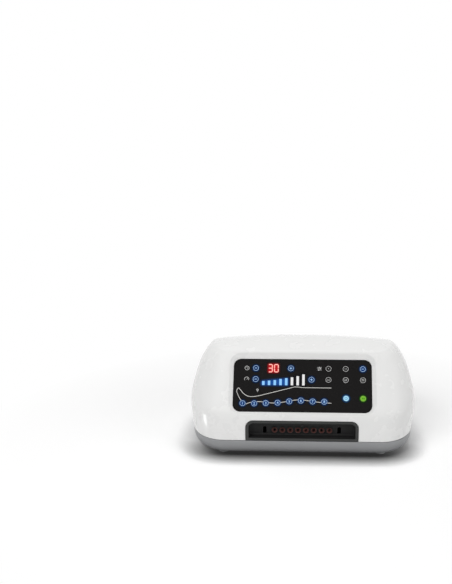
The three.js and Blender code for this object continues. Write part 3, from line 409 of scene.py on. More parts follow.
@dataclass(frozen=True)
class CircuitBoard(Finish):
    """Glass-fibre board under solder resist, with copper runs just under the skin.

    The eye gets a glossy green with lighter straight runs and small tinned pads.
    """

    name: str = "solder_resist_on_copper"
    colour: str = "#174a31"
    run: str = "#2c7048"
    pad: str = "#b9b7a4"
    run_spacing: float = 3.2
    run_depth: float = 0.03
    pad_edge: Pair = (0.14, 0.11)

    def sockets(self, tree: Tree) -> Sockets:
        """Returns the shader's sockets: resist over runs, with pads in it.

        Args:
            tree: The node tree to add to.

        Returns:
            The values of the shader's sockets.
        """
        place = add_node(tree, "TexCoord", out="Object")
        grid = {
            "Vector": place, "Scale": per_metre(self.run_spacing), "Mortar Size": 0.07,
            "Color1": BLACK, "Color2": BLACK, "Mortar": WHITE,
        }
        runs = add_node(tree, "TexBrick", grid)
        spots = {"Vector": place, "Scale": per_metre(self.run_spacing * 1.6), "Randomness": 0.35}
        near = add_node(tree, "TexVoronoi", spots)
        edge = {"Value": near, "From Min": self.pad_edge[0], "From Max": self.pad_edge[1]}
        pads = add_node(tree, "MapRange", edge)
        coated = {"Factor": runs, 6: linear(self.colour), 7: linear(self.run)}
        resist = add_node(tree, "Mix", coated, data_type="RGBA", out=2)
        tinned = {"Factor": pads, 6: resist, 7: linear(self.pad)}
        relief = {"Height": runs, "Distance": self.run_depth * MM, "Strength": 1.0}
        return {
            "Base Color": add_node(tree, "Mix", tinned, data_type="RGBA", out=2),
            "Roughness": 0.38,
            "Coat Weight": 0.3,
            "Normal": add_node(tree, "Bump", relief),
        }


@dataclass(frozen=True)
class ClearPlastic(Finish):
    """Soft clear tube or tinted lens: light passes with a milky haze.

    The eye gets a pale see-through body with bright rims.
    """

    colour: str
    clearness: float = 0.75
    roughness: float = 0.12
    haze_play: float = 0.12
    haze_size: float = 4.0
    tone_play: float = 0.1
    tone_size: float = 8.0

    def sockets(self, tree: Tree) -> Sockets:
        """Returns the shader's sockets: tint, haze and clearness.

        Args:
            tree: The node tree to add to.

        Returns:
            The values of the shader's sockets.
        """
        return {
            "Base Color": mottled(tree, self.colour, self.tone_play, self.tone_size),
            "Roughness": uneven(tree, self.haze_size, 2, self.roughness, self.roughness + self.haze_play),
            "IOR": 1.43,
            "Transmission Weight": self.clearness,
        }


@dataclass(frozen=True)
class Ink(Finish):
    """Screen-printed ink on the overlay: a thin even film with slightly rough edges of tone.

    A glow above nought is the lamp behind the print where a key or display is lit; on unlit print it is a
    painted glow that keeps the ink bright under any light. One near 1 shows the colour as written.
    """

    colour: str
    glow: float = 0.0
    tone_play: float = 0.1
    tone_size: float = 0.6
    least_unlit: float = 0.06

    def sockets(self, tree: Tree) -> Sockets:
        """Returns the shader's sockets: the ink and the lamp behind it.

        Args:
            tree: The node tree to add to.

        Returns:
            The values of the shader's sockets.
        """
        unlit = max(1 - self.glow, self.least_unlit)
        return {
            "Base Color": mottled(tree, self.colour, self.tone_play, self.tone_size, 3, unlit),
            "Roughness": 0.45,
            "Specular IOR Level": 0.15,
            "Emission Color": mottled(tree, self.colour, self.tone_play, self.tone_size, 3),
            "Emission Strength": self.glow,
        }


@dataclass(frozen=True)
class GlowField:
    """A field of lamp light behind the panel that fades softly past its edges.

    Its place and sizes are in millimetres along the panel, across and up the slope. Its top
    edge climbs by `climb` from the left end to the right one.
    """

    colour: str
    centre: Pair
    half: Pair
    fade: float
    level: float
    climb: float = 0.0
    falloff: float = 1.6

    def share(self, tree: Tree) -> Socket:
        """Adds the nodes for the field's strength at a place.

        Args:
            tree: The node tree to add to.

        Returns:
            The strength from 0 to 1.
        """
        anchor = PANEL @ Vector((*self.centre, self.level)) * MM
        wide, tall, fade, climb = (size * MM for size in (*self.half, self.fade, self.climb))
        place = add_node(tree, "TexCoord", out="Object")
        moved = add_node(tree, "VectorMath", {0: place, 1: tuple(anchor)}, operation="SUBTRACT")
        lean = {"Vector": moved, "Angle": SHAPE.panel_lean - math.pi / 2}
        turned = add_node(tree, "VectorRotate", lean, rotation_type="X_AXIS")
        axes = add_node(tree, "SeparateXYZ", {0: turned}).node.outputs
        aside = add_node(tree, "Math", {0: axes["X"]}, operation="ABSOLUTE")
        slope = {"Value": axes["X"], "From Min": -wide, "From Max": wide}
        slope |= {"To Min": -climb / 2, "To Max": climb / 2}
        step = add_node(tree, "MapRange", slope)
        above = add_node(tree, "Math", {0: axes["Y"], 1: step}, operation="SUBTRACT")
        product = 1.0
        for value, dark, full in (
            (aside, wide + fade, wide - fade), (axes["Y"], -tall - fade, fade - tall),
            (above, tall + fade, tall - fade),
        ):
            edge = add_node(tree, "MapRange", {"Value": value, "From Min": dark, "From Max": full})
            both = {0: product, 1: edge}
            product = add_node(tree, "Math", both, operation="MULTIPLY")
        return add_node(tree, "Math", {0: product, 1: self.falloff}, operation="POWER")


@dataclass(frozen=True)
class GlowWindow(Finish):
    """Smoked display window lit from behind: the lamp colour swells round the lit figures.

    The eye gets a dark gloss window with a slightly uneven glow in it.
    """

    dark: str
    glow: GlowField
    mottle_size: float = 1.5
    least_mottle: float = 0.82

    def sockets(self, tree: Tree) -> Sockets:
        """Returns the shader's sockets: smoked gloss with the field of light in it.

        Args:
            tree: The node tree to add to.

        Returns:
            The values of the shader's sockets.
        """
        mottle = uneven(tree, self.mottle_size, low=self.least_mottle)
        lit = add_node(tree, "Math", {0: self.glow.share(tree), 1: mottle}, operation="MULTIPLY")
        light = {"Factor": lit, 6: BLACK, 7: linear(self.glow.colour)}
        return {
            "Base Color": linear(self.dark),
            "Roughness": 0.2,
            "Specular IOR Level": 0.085,
            "Emission Color": add_node(tree, "Mix", light, data_type="RGBA", out=2),
            "Emission Strength": 1.0,
        }


@dataclass(frozen=True)
class OverlayFilm(Finish):
    """Hard-coated film, printed black from behind: a deep gloss with a fine dust of pinholes.

    The eye gets a near-black with a soft reflection and a faint speckle, and a little of the
    displays' light that creeps through round their windows.
    """

    name: str = "printed_overlay_film"
    colour: str = "#121111"
    speck: str = "#1d1b1b"
    speck_size: float = 0.8
    glows: tuple[GlowField, ...] = ()
    smear_size: float = 14.0
    roughness: Pair = (0.2, 0.3)
    wave_size: float = 2.5
    wave_depth: float = 0.004

    def dust(self, tree: Tree, ground: tuple, speck: str) -> Socket:
        """Adds the fine dust of pinholes, in a hex colour, on a ground colour and returns both mixed."""
        holes = {"Factor": uneven(tree, self.speck_size, span=DUST_SPAN), 6: ground, 7: linear(speck)}
        return add_node(tree, "Mix", holes, data_type="RGBA", out=2)

    def sockets(self, tree: Tree) -> Sockets:
        """Returns the shader's sockets: dust, smears, waves and the light that creeps out.

        Args:
            tree: The node tree to add to.

        Returns:
            The values of the shader's sockets.
        """
        spill = BLACK
        for glow in self.glows:
            added = {"Factor": glow.share(tree), 6: spill, 7: linear(glow.colour)}
            spill = add_node(tree, "Mix", added, data_type="RGBA", out=2)
        return {
            "Base Color": self.dust(tree, linear(self.colour), self.speck),
            "Roughness": uneven(tree, self.smear_size, 3, *self.roughness),
            "Specular IOR Level": 0.085,
            "Normal": grain(tree, self.wave_size, self.wave_depth),
            "Emission Color": spill,
            "Emission Strength": 1.0,
        }


@dataclass(frozen=True)
class LampBloom(Finish):
    """Light of a lamp that spills under the film round a lit key.

    The eye gets a tinted bloom that is gone two millimetres out; its colour is stored on the points.
    """

    name: str = "lamp_bloom_on_film"
    attribute: str = "bloom"

    def sockets(self, tree: Tree) -> Sockets:
        """Returns the shader's sockets: the film's black with the stored colour glowing in it.

        Args:
            tree: The node tree to add to.

        Returns:
            The values of the shader's sockets.
        """
        stored = add_node(tree, "Attribute", attribute_name=self.attribute)
        return {
            "Base Color": FILM.dust(tree, BLACK, FILM.colour),
            "Roughness": 0.25,
            "Specular IOR Level": 0.08,
            "Emission Color": stored,
            "Emission Strength": 1.0,
        }


# Casing and panel finishes.
WHITE_ABS = MouldedPlastic("gloss_white_abs", "#e9e9e8", 0.27, 0.01, 70, 1.6, 0.002, 0.012, coat=0.25)
GREY_ABS = MouldedPlastic("satin_grey_abs", "#949597", 0.42, 0.04, 40, 0.6, 0.012)
BAY_PLASTIC = TexturedPlastic("spark_eroded_charcoal", "#232323", 0.5)
# The bay rim is a lighter copy of the bay charcoal. It is painted light that the front rim catches, while
# the inside keeps the darker, shaded tone.
BAY_RIM_PAINTED_LIGHT = TexturedPlastic("bay_rim_charcoal_painted_light", "#353635", 0.4, pit_depth=0.015, specular=0.35)
PANEL_PLASTIC = TexturedPlastic("rear_plate_charcoal", "#333436", 0.55)
BLACK_PLASTIC = MouldedPlastic("black_moulding", "#1b1b1c", 0.34, 0.1, 12, 0.5, 0.008)
INNER_PLASTIC = MouldedPlastic("filled_nylon", "#43464a", 0.55, 0.1, 14, 0.8, 0.02)
SPOOL_PLASTIC = MouldedPlastic("acetal", "#dddbd3", 0.4, 0.05, 10, 0.6, 0.008)
KEY_PLASTIC = MouldedPlastic("key_cap_black", "#131212", 0.3, 0.08, 3, 0.4, 0.005, specular=0.14)
FOOT_RUBBER = Rubber("foot_rubber_grey", "#cfd0d1", 0.55)
MAT_SILICONE = Rubber("key_mat_silicone", "#a9abad", 0.75)
GASKET_SILICONE = Rubber("port_gasket_silicone", "#5b322c", 0.55, 0.05, 0.1)
FILM = OverlayFilm()
BLOOM = LampBloom()
BOARD = CircuitBoard()
STEEL = Metal("zinc_plated_steel", "#b9bbbe", 0.34)
BRASS = Metal("nickelled_brass", "#c3bda9", 0.28)
ALLOY = Metal("die_cast_alloy", "#8b8e92", 0.5, Working.CAST)
CORE_STEEL = Metal("core_laminations", "#6c6d70", 0.48, Working.LAMINATED)
TUBE = ClearPlastic("vinyl_tube", "#dfe4e3")
EYE_LENS = ClearPlastic("receiver_lens_smoked", "#241a24", 0.3, 0.08)
LEAD_SHEATH = Rubber("lead_sheath", "#262627", 0.6, 0.0, 0.05)
RIBBON = MouldedPlastic("ribbon_cable_grey", "#a3a5a8", 0.5, 0.12, 2.5, 1.3, 0.06)
ROCKER_PLASTIC = MouldedPlastic("rocker_black_gloss", "#161617", 0.22, 0.06, 8, 0.6, 0.004, coat=0.4)

# Inks and lamps of the key panel.
# The white ink is unlit print with a painted glow: it shines though no lamp is behind it.
INK_WHITE_PAINTED_GLOW = Ink("ink_white_painted_glow", "#dededd", 0.3)
# The grey line ink is unlit print with a painted glow: it shines though no lamp is behind it.
INK_GREY_PAINTED_GLOW = Ink("ink_line_grey_painted_glow", "#f0efea", 0.6)
LAMP_BLUE = Ink("lamp_ring_blue", "#b4d6fc", 1.1)
LAMP_BLUE_DEEP = Ink("lamp_fill_blue", "#103670", 0.65)
LAMP_PALE = Ink("lamp_pale_blue", "#a8dcf8", 0.92)
LAMP_GREEN = Ink("lamp_green", "#74b832", 0.9)
LAMP_GREEN_RIM = Ink("lamp_green_rim", "#92cc4e", 0.9)
LAMP_GREEN_DARK = Ink("lamp_green_symbol", "#2f7a08", 0.5)
SEGMENT_RED = Ink("lamp_segment", "#ffb2a6", 1.25)
BAR_LIT = Ink("lamp_bar_blue", "#8fcafb", 1.05)
# The unlit white bars carry a painted glow: they shine though no lamp is behind them.
BAR_WHITE_PAINTED_GLOW = Ink("unlit_bar_white_painted_glow", "#f1f1f1", 0.7)
SIGN_BLUE = Ink("lamp_sign_blue", "#add6fb", 1.15)
FILL_NIGHT = Ink("lamp_fill_night", "#0a2a5c", 0.55)
SIGN_DEEP = Ink("lamp_sign_deep", "#3a83aa", 0.6)


def rounded_loop(
    left: float, right: float, low: float, high: float, corner: float, foot_corner: float, steps: int = 10,
) -> list[Pair]:
    """Outline of a rectangle with round corners, anticlockwise, with equal counts of points.

    Args:
        left: Lowest value across.
        right: Highest value across.
        low: Lowest value up.
        high: Highest value up.
        corner: Radius of the two upper corners.
        foot_corner: Radius of the two lower corners.
        steps: Steps in each corner.

    Returns:
        The outline's points.
    """
    points = []
    corners = [
        (right - foot_corner, low + foot_corner, foot_corner, -90),
        (right - corner, high - corner, corner, 0),
        (left + corner, high - corner, corner, 90),
        (left + foot_corner, low + foot_corner, foot_corner, 180),
    ]
    for across, up, radius, start in corners:
        for step in range(steps + 1):
            angle = math.radians(start + 90 * step / steps)
            points.append((across + radius * math.cos(angle), up + radius * math.sin(angle)))
    return points


def extrude_loop(bm: Mesh, edges: list, targets: dict) -> tuple[list, dict]:
    """Extrudes a closed or open run of edges once and moves the new points to their places.

    Args:
        bm: The mesh that holds the edges.
        edges: The edges of the run.
        targets: Place of each new point by the point that it comes from.

    Returns:
        The new edges in the order of the old ones, and the new points by the old ones.
    """
    before = {vert.co.copy().freeze(): vert for edge in edges for vert in edge.verts}
    made = bmesh.ops.extrude_edge_only(bm, edges=edges)["geom"]
    follow = {}
    for vert in [item for item in made if isinstance(item, bmesh.types.BMVert)]:
        follow[before[vert.co.copy().freeze()]] = vert
    fresh = []
    for edge in edges:
        first, second = [follow[vert] for vert in edge.verts]
        fresh.append(bm.edges.get((first, second)))
    for old, new in follow.items():
        new.co = targets[old]
    return fresh, follow


def skin(rings: Sequence[Loop], point_end: bool = False) -> Mesh:
    """Skins a closed body over a stack of rings by extruding the first ring through the others.

    Args:
        rings: Rings with equal counts of points.
        point_end: Whether the last ring closes in one point instead of a flat cap.

    Returns:
        The closed mesh.
    """
    bm = bmesh.new()
    verts = [bm.verts.new(point) for point in rings[0]]
    edges = [bm.edges.new((verts[i - 1], verts[i])) for i in range(len(verts))]
    bmesh.ops.contextual_create(bm, geom=edges)
    for ring in rings[1:]:
        edges, follow = extrude_loop(bm, edges, dict(zip(verts, ring)))
        verts = [follow[vert] for vert in verts]
    if point_end:
        middle = sum((vert.co for vert in verts), Vector()) / len(verts)
        bmesh.ops.pointmerge(bm, verts=verts, merge_co=middle)
    else:
        bmesh.ops.contextual_create(bm, geom=edges)
    bmesh.ops.recalc_face_normals(bm, faces=bm.faces)
    return bm


def body_of_turning(
    profile: FlatLoop, steps: int = 48, closed: bool = False,
) -> Mesh:
    """Spins a profile about Z into a closed round body.

    Args:
        profile: Points as radius and height; an open profile starts and ends on the axis.
        steps: Steps of the full turn.
        closed: Whether the profile closes on itself, as a ring's does.

    Returns:
        The round mesh.
    """
    bm = bmesh.new()
    verts = [bm.verts.new((radius, 0, height)) for radius, height in profile]
    edges = [bm.edges.new(pair) for pair in zip(verts, verts[1:])]
    if closed:
        edges.append(bm.edges.new((verts[-1], verts[0])))
    bmesh.ops.spin(
        bm, geom=verts + edges, cent=(0, 0, 0), axis=(0, 0, 1), angle=2 * math.pi, steps=steps,
        use_merge=True,
    )
    bmesh.ops.remove_doubles(bm, verts=bm.verts, dist=1e-4)
    bmesh.ops.recalc_face_normals(bm, faces=bm.faces)
    return bm


def block(low: Sequence[float], high: Sequence[float], edge: float = 0.0, segments: int = 3) -> Mesh:
    """A block between two corners with its edges rounded.

    Args:
        low: Lowest corner.
        high: Highest corner.
        edge: Radius of the edges.
        segments: Steps of the rounding.

    Returns:
        The mesh.
    """
    bm = bmesh.new()
    bmesh.ops.create_cube(bm, size=1)
    size = [top - bottom for bottom, top in zip(low, high)]
    bmesh.ops.scale(bm, vec=size, verts=bm.verts)
    bmesh.ops.translate(bm, vec=[(top + bottom) / 2 for bottom, top in zip(low, high)], verts=bm.verts)
    if edge:
        round_edges(bm, list(bm.edges), edge, segments)
    return bm


def round_edges(bm: Mesh, edges: list, width: float, segments: int = 3) -> None:
    """Rounds the given edges by a width in millimetres.

    Args:
        bm: The mesh to work on.
        edges: The edges to round.
        width: Width of the rounding in millimetres.
        segments: Steps of the rounding.
    """
    bmesh.ops.bevel(
        bm, geom=edges, offset=width, offset_type="OFFSET", affect="EDGES", segments=segments, profile=0.5,
        material=-1, clamp_overlap=True,
    )


def sharp_edges(bm: Mesh, angle: float, keep: Callable[[object], bool] = lambda edge: True) -> list:
    """Lists the edges where two faces meet more sharply than an angle in degrees.

    Args:
        bm: The mesh to look through.
        angle: The angle in degrees.
        keep: A test that an edge must pass as well.

    Returns:
        The edges.
    """
    limit = math.radians(angle)
    return [edge for edge in bm.edges if len(edge.link_faces) == 2
            and abs(edge.calc_face_angle(0)) > limit and keep(edge)]


def move(bm: Mesh, matrix: Matrix) -> Mesh:
    """Moves a whole mesh by a matrix and returns it."""
    bmesh.ops.transform(bm, matrix=matrix, verts=bm.verts)
    return bm


def merged(parts: Iterable[Mesh]) -> Mesh:
    """Gathers several meshes in the first one, side by side, and frees the others.

    Args:
        parts: The meshes to gather.

    Returns:
        The first mesh, with all the others in it.
    """
    parts = list(parts)
    whole = parts[0]
    for part in parts[1:]:
        holder = bpy.data.meshes.new("holder")
        part.to_mesh(holder)
        part.free()
        whole.from_mesh(holder)
        bpy.data.meshes.remove(holder)
    return whole


def scratch_object(name: str, bm: Mesh) -> bpy.types.Object:
    """Puts a mesh in the scene for a boolean, to be removed again.

    Args:
        name: The object's name.
        bm: The mesh; it is freed.

    Returns:
        The object.
    """
    mesh = bpy.data.meshes.new(name)
    bm.to_mesh(mesh)
    bm.free()
    made = bpy.data.objects.new(name, mesh)
    bpy.context.scene.collection.objects.link(made)
    return made


class Cut(Enum):
    """What a boolean does with its tool."""

    JOIN = "UNION"
    CARVE = "DIFFERENCE"


def worked(body: Mesh, steps: Sequence[tuple[Cut, Mesh]]) -> Mesh:
    """Works a body with boolean tools, one after another.

    Args:
        body: The mesh to work; it is freed.
        steps: What to do, each with its tool; the tools are freed.

    Returns:
        The worked mesh.
    """
    blank = scratch_object("blank", body)
    tools = []
    for order, (kind, tool) in enumerate(steps):
        tools.append(scratch_object(f"tool_{order}", tool))
        modifier = blank.modifiers.new(f"cut_{order}", "BOOLEAN")
        modifier.operation = kind.value
        modifier.solver = "EXACT"
        modifier.object = tools[-1]
    graph = bpy.context.evaluated_depsgraph_get()
    result = bmesh.new()
    result.from_object(blank, graph)
    for used in [blank, *tools]:
        mesh = used.data
        bpy.data.objects.remove(used)
        bpy.data.meshes.remove(mesh)
    bmesh.ops.remove_doubles(result, verts=result.verts, dist=1e-4)
    return result


def ribbon(points: FlatLoop, width: float, height: float) -> Mesh:
    """A flat printed line along points, drawn in the XY plane.

    Args:
        points: The line's middle, point by point.
        width: Width of the line.
        height: Thickness of the print.

    Returns:
        The closed mesh, from 0 up to the height.
    """
    count = len(points)
    sides = []
    for order, (across, up) in enumerate(points):
        before, after = points[max(order - 1, 0)], points[min(order + 1, count - 1)]
        along = Vector((after[0] - before[0], after[1] - before[1])).normalized()
        out = Vector((-along.y, along.x)) * (width / 2)
        sides.append((Vector((across - out.x, up - out.y, 0)), Vector((across + out.x, up + out.y, 0))))
    bm = bmesh.new()
    verts = [bm.verts.new(point) for point in sides[0]]
    edges = [bm.edges.new(verts)]
    for pair in sides[1:]:
        edges, follow = extrude_loop(bm, edges, dict(zip(verts, pair)))
        verts = [follow[vert] for vert in verts]
    return thickened(bm, height)


def thickened(bm: Mesh, height: float) -> Mesh:
    """Extrudes a flat XY drawing up by a height and closes it.

    Args:
        bm: The flat drawing.
        height: How far it is extruded.

    Returns:
        The closed mesh.
    """
    raised = bmesh.ops.extrude_face_region(bm, geom=bm.faces[:])["geom"]
    upper = [item for item in raised if isinstance(item, bmesh.types.BMVert)]
    bmesh.ops.translate(bm, vec=(0, 0, height), verts=upper)
    bmesh.ops.recalc_face_normals(bm, faces=bm.faces)
    return bm


def smooth_line(points: FlatLoop, steps: int = 6) -> list[Pair]:
    """Fits a smooth curve through points and returns it as a finer line.

    Args:
        points: The points that the curve passes.
        steps: Steps between two points.

    Returns:
        The finer line's points.
    """
    line = []
    for order in range(len(points) - 1):
        around = [points[min(max(order + k, 0), len(points) - 1)] for k in (-1, 0, 1, 2)]
        for step in range(steps):
            share = step / steps
            line.append(tuple(catmull(*[point[axis] for point in around], share) for axis in (0, 1)))
    return [*line, tuple(points[-1])]


def catmull(before: float, start: float, end: float, after: float, share: float) -> float:
    """Value of a Catmull-Rom curve between its start and end."""
    pull = (end - before) * share + (2 * before - 5 * start + 4 * end - after) * share ** 2
    return start + (pull + (3 * start - before - 3 * end + after) * share ** 3) / 2


def figure(text: str, height: float, thickness: float) -> Mesh:
    """A plain figure or sign as a flat raised mesh, centred on the origin in the XY plane.

    Args:
        text: What is written.
        height: Height of the writing.
        thickness: How far it is raised.

    Returns:
        The raised mesh.
    """
    curve = bpy.data.curves.new("figure", "FONT")
    curve.body = text
    curve.resolution_u = 4
    holder = bpy.data.objects.new("figure", curve)
    bpy.context.scene.collection.objects.link(holder)
    bpy.context.view_layer.update()
    bm = bmesh.new()
    bm.from_mesh(holder.to_mesh())
    bpy.data.objects.remove(holder)
    bpy.data.curves.remove(curve)
    bmesh.ops.remove_doubles(bm, verts=bm.verts, dist=1e-4)
    low = Vector([min(vert.co[axis] for vert in bm.verts) for axis in range(3)])
    high = Vector([max(vert.co[axis] for vert in bm.verts) for axis in range(3)])
    bmesh.ops.translate(bm, vec=-(low + high) / 2, verts=bm.verts)
    factor = height / (high.y - low.y)
    bmesh.ops.scale(bm, vec=(factor, factor, 1), verts=bm.verts)
    return thickened(bm, thickness)


def annulus(outer: float, inner: float, thickness: float, sides: int = 40) -> Mesh:
    """A flat printed ring, centred on the origin in the XY plane."""
    profile = [(inner, 0), (outer, 0), (outer, thickness), (inner, thickness)]
    return body_of_turning(profile, sides, closed=True)


def disc(radius: float, low: float, high: float, sides: int = 40) -> Mesh:
    """A flat round body about Z from one height to another."""
    return body_of_turning([(0, low), (radius, low), (radius, high), (0, high)], sides)


@dataclass
class Piece:
    """One finished piece: its mesh, its finish and what it stands for."""

    name: str
    bm: Mesh
    finishes: Sequence[Finish]
    body: str = "console"
    replaces: Sequence[str] = ()
    slot: str = ""
    smooth: float = 35.0

    def place(self) -> bpy.types.Object:
        """Hands the piece to the scene in metres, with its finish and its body.

        Returns:
            The object that was placed.
        """
        bmesh.ops.scale(self.bm, vec=(MM, MM, MM), verts=self.bm.verts)
        mesh = bpy.data.meshes.new(self.name)
        self.bm.to_mesh(mesh)
        self.bm.free()
        for finish in self.finishes:
            mesh.materials.append(material_of(finish))
        mesh.shade_smooth()
        mesh.set_sharp_from_angle(angle=math.radians(self.smooth))
        made = bpy.data.objects.new(self.name, mesh)
        bpy.context.scene.collection.objects.link(made)
        even = made.modifiers.new("even_shading", "WEIGHTED_NORMAL")
        even.keep_sharp = True
        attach(made, self.body)
        if self.replaces:
            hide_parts(*self.replaces)
        LOG.info("%s: %d faces on %s", self.name, len(mesh.polygons), self.body)
        return made


MATERIALS: dict[str, bpy.types.Material] = {}


def material_of(finish: Finish) -> bpy.types.Material:
    """Returns a finish's material, built once.

    Args:
        finish: The finish.

    Returns:
        Its material.
    """
    if finish.name not in MATERIALS:
        MATERIALS[finish.name] = finish.material()
    return MATERIALS[finish.name]


@dataclass(frozen=True)
class CasingShape:
    """The lines of the casing: its front, top, sides and tucked-in base."""

    width: float = 320.0
    depth: float = 220.0
    floor: float = 5.0
    parting: float = 25.5
    parting_gap: float = 0.5
    wall: float = 3.0
    front_setback: float = 3.0
    panel_foot: float = 62.2
    panel_lean: float = math.radians(33)
    front_bend: float = 1.6
    widest_from_front: float = 74.0
    corner_reach: float = 52.0
    rear_setback: float = 2.0
    rear_shoulder: float = 9.0
    crest: float = 149.6
    crest_from_front: float = 92.0
    crest_blend: float = 9.0
    brow_slope: float = math.radians(20)
    top_fall: float = math.radians(14.6)
    crown_drop: float = 6.5
    tub_tuck: float = 14.5
    side_shares: tuple[Pair, ...] = (
        (0, 0.9875), (0.14, 0.996), (0.28, 1), (0.37, 1), (0.46, 0.994), (0.56, 0.976),
        (0.67, 0.952), (0.77, 0.926), (0.85, 0.896), (0.91, 0.867), (0.96, 0.838), (1, 0.803),
    )
    edge_ease_share: float = 0.3
    widest_shift_share: float = 0.35
    corner_keep_share: float = 0.156
    shoulder_sharpness: float = 8.0
    rear_roundness: float = 4.5
    tub_roundness: float = 2.4
    flat_steps: int = 12
    corner_steps: int = 26
    rear_steps: int = 34

    @staticmethod
    def blended_max(first: float, second: float, blend: float) -> float:
        """Smooth version of the larger of two values."""
        return (first + second + math.hypot(first - second, blend)) / 2

    def front_at(self, level: float) -> float:
        """How far back the front lies at a level.

        Args:
            level: Height above the ground.

        Returns:
            The place along Y.
        """
        slope = self.front_setback / (self.panel_foot - self.parting)
        face = -self.depth / 2 + (level - self.parting) * slope
        panel = -self.depth / 2 + self.front_setback + (level - self.panel_foot) * math.tan(self.panel_lean)
        return self.blended_max(face, panel, self.front_bend)

    def top_at(self, along: float) -> float:
        """Level of the top on its centre line.

        Args:
            along: The place along Y.

        Returns:
            Height above the ground.
        """
        from_crest = along + self.depth / 2 - self.crest_from_front
        apex = self.crest + self.crest_blend / 2
        brow = apex + from_crest * math.tan(self.brow_slope)
        fall = apex - from_crest * math.tan(self.top_fall)
        return -self.blended_max(-brow, -fall, self.crest_blend)

    def brow_level(self) -> float:
        """Level where the leaning panel meets the top.

        Returns:
            Height above the ground.
        """
        low, high = self.panel_foot, self.crest
        for _ in range(40):
            middle = (low + high) / 2
            low, high = (middle, high) if self.top_at(self.front_at(middle)) > middle else (low, middle)
        return low

    def side_share(self, level_share: float) -> float:
        """Half width at a share of the height, smoothly through the table of shares.

        Args:
            level_share: Share of the height between parting line and edge.

        Returns:
            The half width as a share of the widest one.
        """
        table = self.side_shares
        order = max(place for place in range(len(table) - 1) if table[place][0] <= level_share)
        slopes = [(b[1] - a[1]) / (b[0] - a[0]) for a, b in zip(table, table[1:])]
        inner = [(before + after) / 2 for before, after in zip(slopes, slopes[1:])]
        tangents = [slopes[0], *inner, slopes[-1]]
        (start, value), (end, following) = table[order], table[order + 1]
        span = end - start
        t = (level_share - start) / span
        hold = (1 + 2 * t) * (1 - t) ** 2 * value + t * t * (3 - 2 * t) * following
        pull = t * (1 - t) ** 2 * tangents[order] - t * t * (1 - t) * tangents[order + 1]
        return hold + pull * span

    def outline(self, half: float, front: float, rear: float, widest: float, flat: float) -> list[tuple]:
        """One ring seen from above, anticlockwise, as across, along and share front to rear.

        Args:
            half: Half of the ring's width.
            front: Where its front lies along Y.
            rear: Where its rear lies along Y.
            widest: Where it is widest along Y.
            flat: Half of the flat stretch of its front.

        Returns:
            The ring's points.
        """
        right = [(flat * step / self.flat_steps, front) for step in range(self.flat_steps + 1)]
        for step in range(1, self.corner_steps + 1):
            angle = math.pi / 2 * step / self.corner_steps
            across = flat + (half - flat) * math.sin(angle)
            right.append((across, widest - (widest - front) * math.cos(angle)))
        for step in range(1, self.rear_steps + 1):
            angle = math.pi / 2 * step / self.rear_steps
            across = half * max(math.cos(angle), 0) ** (2 / self.rear_roundness)
            right.append((across, widest + (rear - widest) * math.sin(angle) ** (2 / self.rear_roundness)))
        right[-1] = (0.0, right[-1][1])
        left = [(-across, along) for across, along in reversed(right[1:-1])]
        return [(across, along, (along - front) / (rear - front)) for across, along in [*right, *left]]

    def edge_level(self, share: float, brow: float) -> float:
        """Level of the top edge at a share of the way from front to rear.

        Args:
            share: Share of the way.
            brow: Level of the brow.

        Returns:
            Height above the ground.
        """
        front = self.front_at(brow)
        rear = self.depth / 2 - self.rear_setback - self.rear_shoulder
        t = min(max(share / self.edge_ease_share, 0), 1)
        return self.top_at(front + share * (rear - front)) - self.crown_drop * t * t * (3 - 2 * t)

    def cover_rings(
        self, inset: float, drop: float, levels: Sequence[float], crown: Sequence[float],
    ) -> list[Loop]:
        """Rings of the upper casing, drawn in by an inset.

        Args:
            inset: How far inside the outer skin the rings lie.
            drop: How far the first ring is taken down.
            levels: Shares of the height at which side rings lie.
            crown: Shares of the way in from the edge at which crown rings lie.

        Returns:
            The rings from the parting line to the crown.
        """
        brow = self.brow_level()
        lean = inset / math.cos(self.panel_lean)
        rings = []
        for level in levels:
            half = self.width / 2 * min(self.side_share(level), 1) - inset
            front = self.front_at(self.parting + level * (self.edge_level(0, brow) - self.parting)) + lean
            shoulder = self.rear_shoulder * level ** self.shoulder_sharpness
            rear = self.depth / 2 - self.rear_setback * level - shoulder - inset
            widest = front + self.widest_from_front * (1 - self.widest_shift_share * level)
            flat = min(self.width / 2 - self.corner_reach, half - self.width / 2 * self.corner_keep_share)
            ring = []
            for across, along, share in self.outline(half, front, rear, widest, flat):
                rise = self.edge_level(share, brow) - inset - self.parting
                foot = drop if level == 0 else 0
                ring.append(Vector((across, along, self.parting + level * rise - foot)))
            rings.append(ring)
        edge = rings[-1]
        for share in crown:
            ring = []
            for point in edge:
                fall = self.top_at(point.y) - inset - point.z
                inner = point.y * share
                ring.append(Vector((point.x * share, inner, self.top_at(inner) - inset - fall * share ** 2)))
            rings.append(ring)
        return rings

    def tub_rings(self, inset: float, floor: float, rim: float, steps: int) -> list[Loop]:
        """Rings of the tub from its floor up to its rim.

        Args:
            inset: How far inside the outer skin the rings lie.
            floor: Level of the first ring.
            rim: Level of the last ring.
            steps: Steps from the first ring to the last.

        Returns:
            The rings from the floor to the rim.
        """
        rings = []
        for step in range(steps + 1):
            angle = math.pi / 2 * step / steps
            rounded = 2 / self.tub_roundness
            tuck = self.tub_tuck * (1 - math.sin(angle) ** rounded) + inset
            height = (rim - floor) * (1 - max(math.cos(angle), 0) ** rounded)
            half = self.width / 2 * self.side_shares[0][1] - tuck
            flat = self.width / 2 - self.corner_reach - tuck / 2
            widest = self.widest_from_front - self.depth / 2
            outline = self.outline(half, -self.depth / 2 + tuck, self.depth / 2 - tuck, widest, flat)
            rings.append([Vector((across, along, floor + height)) for across, along, _ in outline])
        return rings


SHAPE = CasingShape()
PANEL = Matrix.Translation((0, SHAPE.front_setback - SHAPE.depth / 2, SHAPE.panel_foot)) @ Matrix.Rotation(
    math.pi / 2 - SHAPE.panel_lean, 4, "X",
)


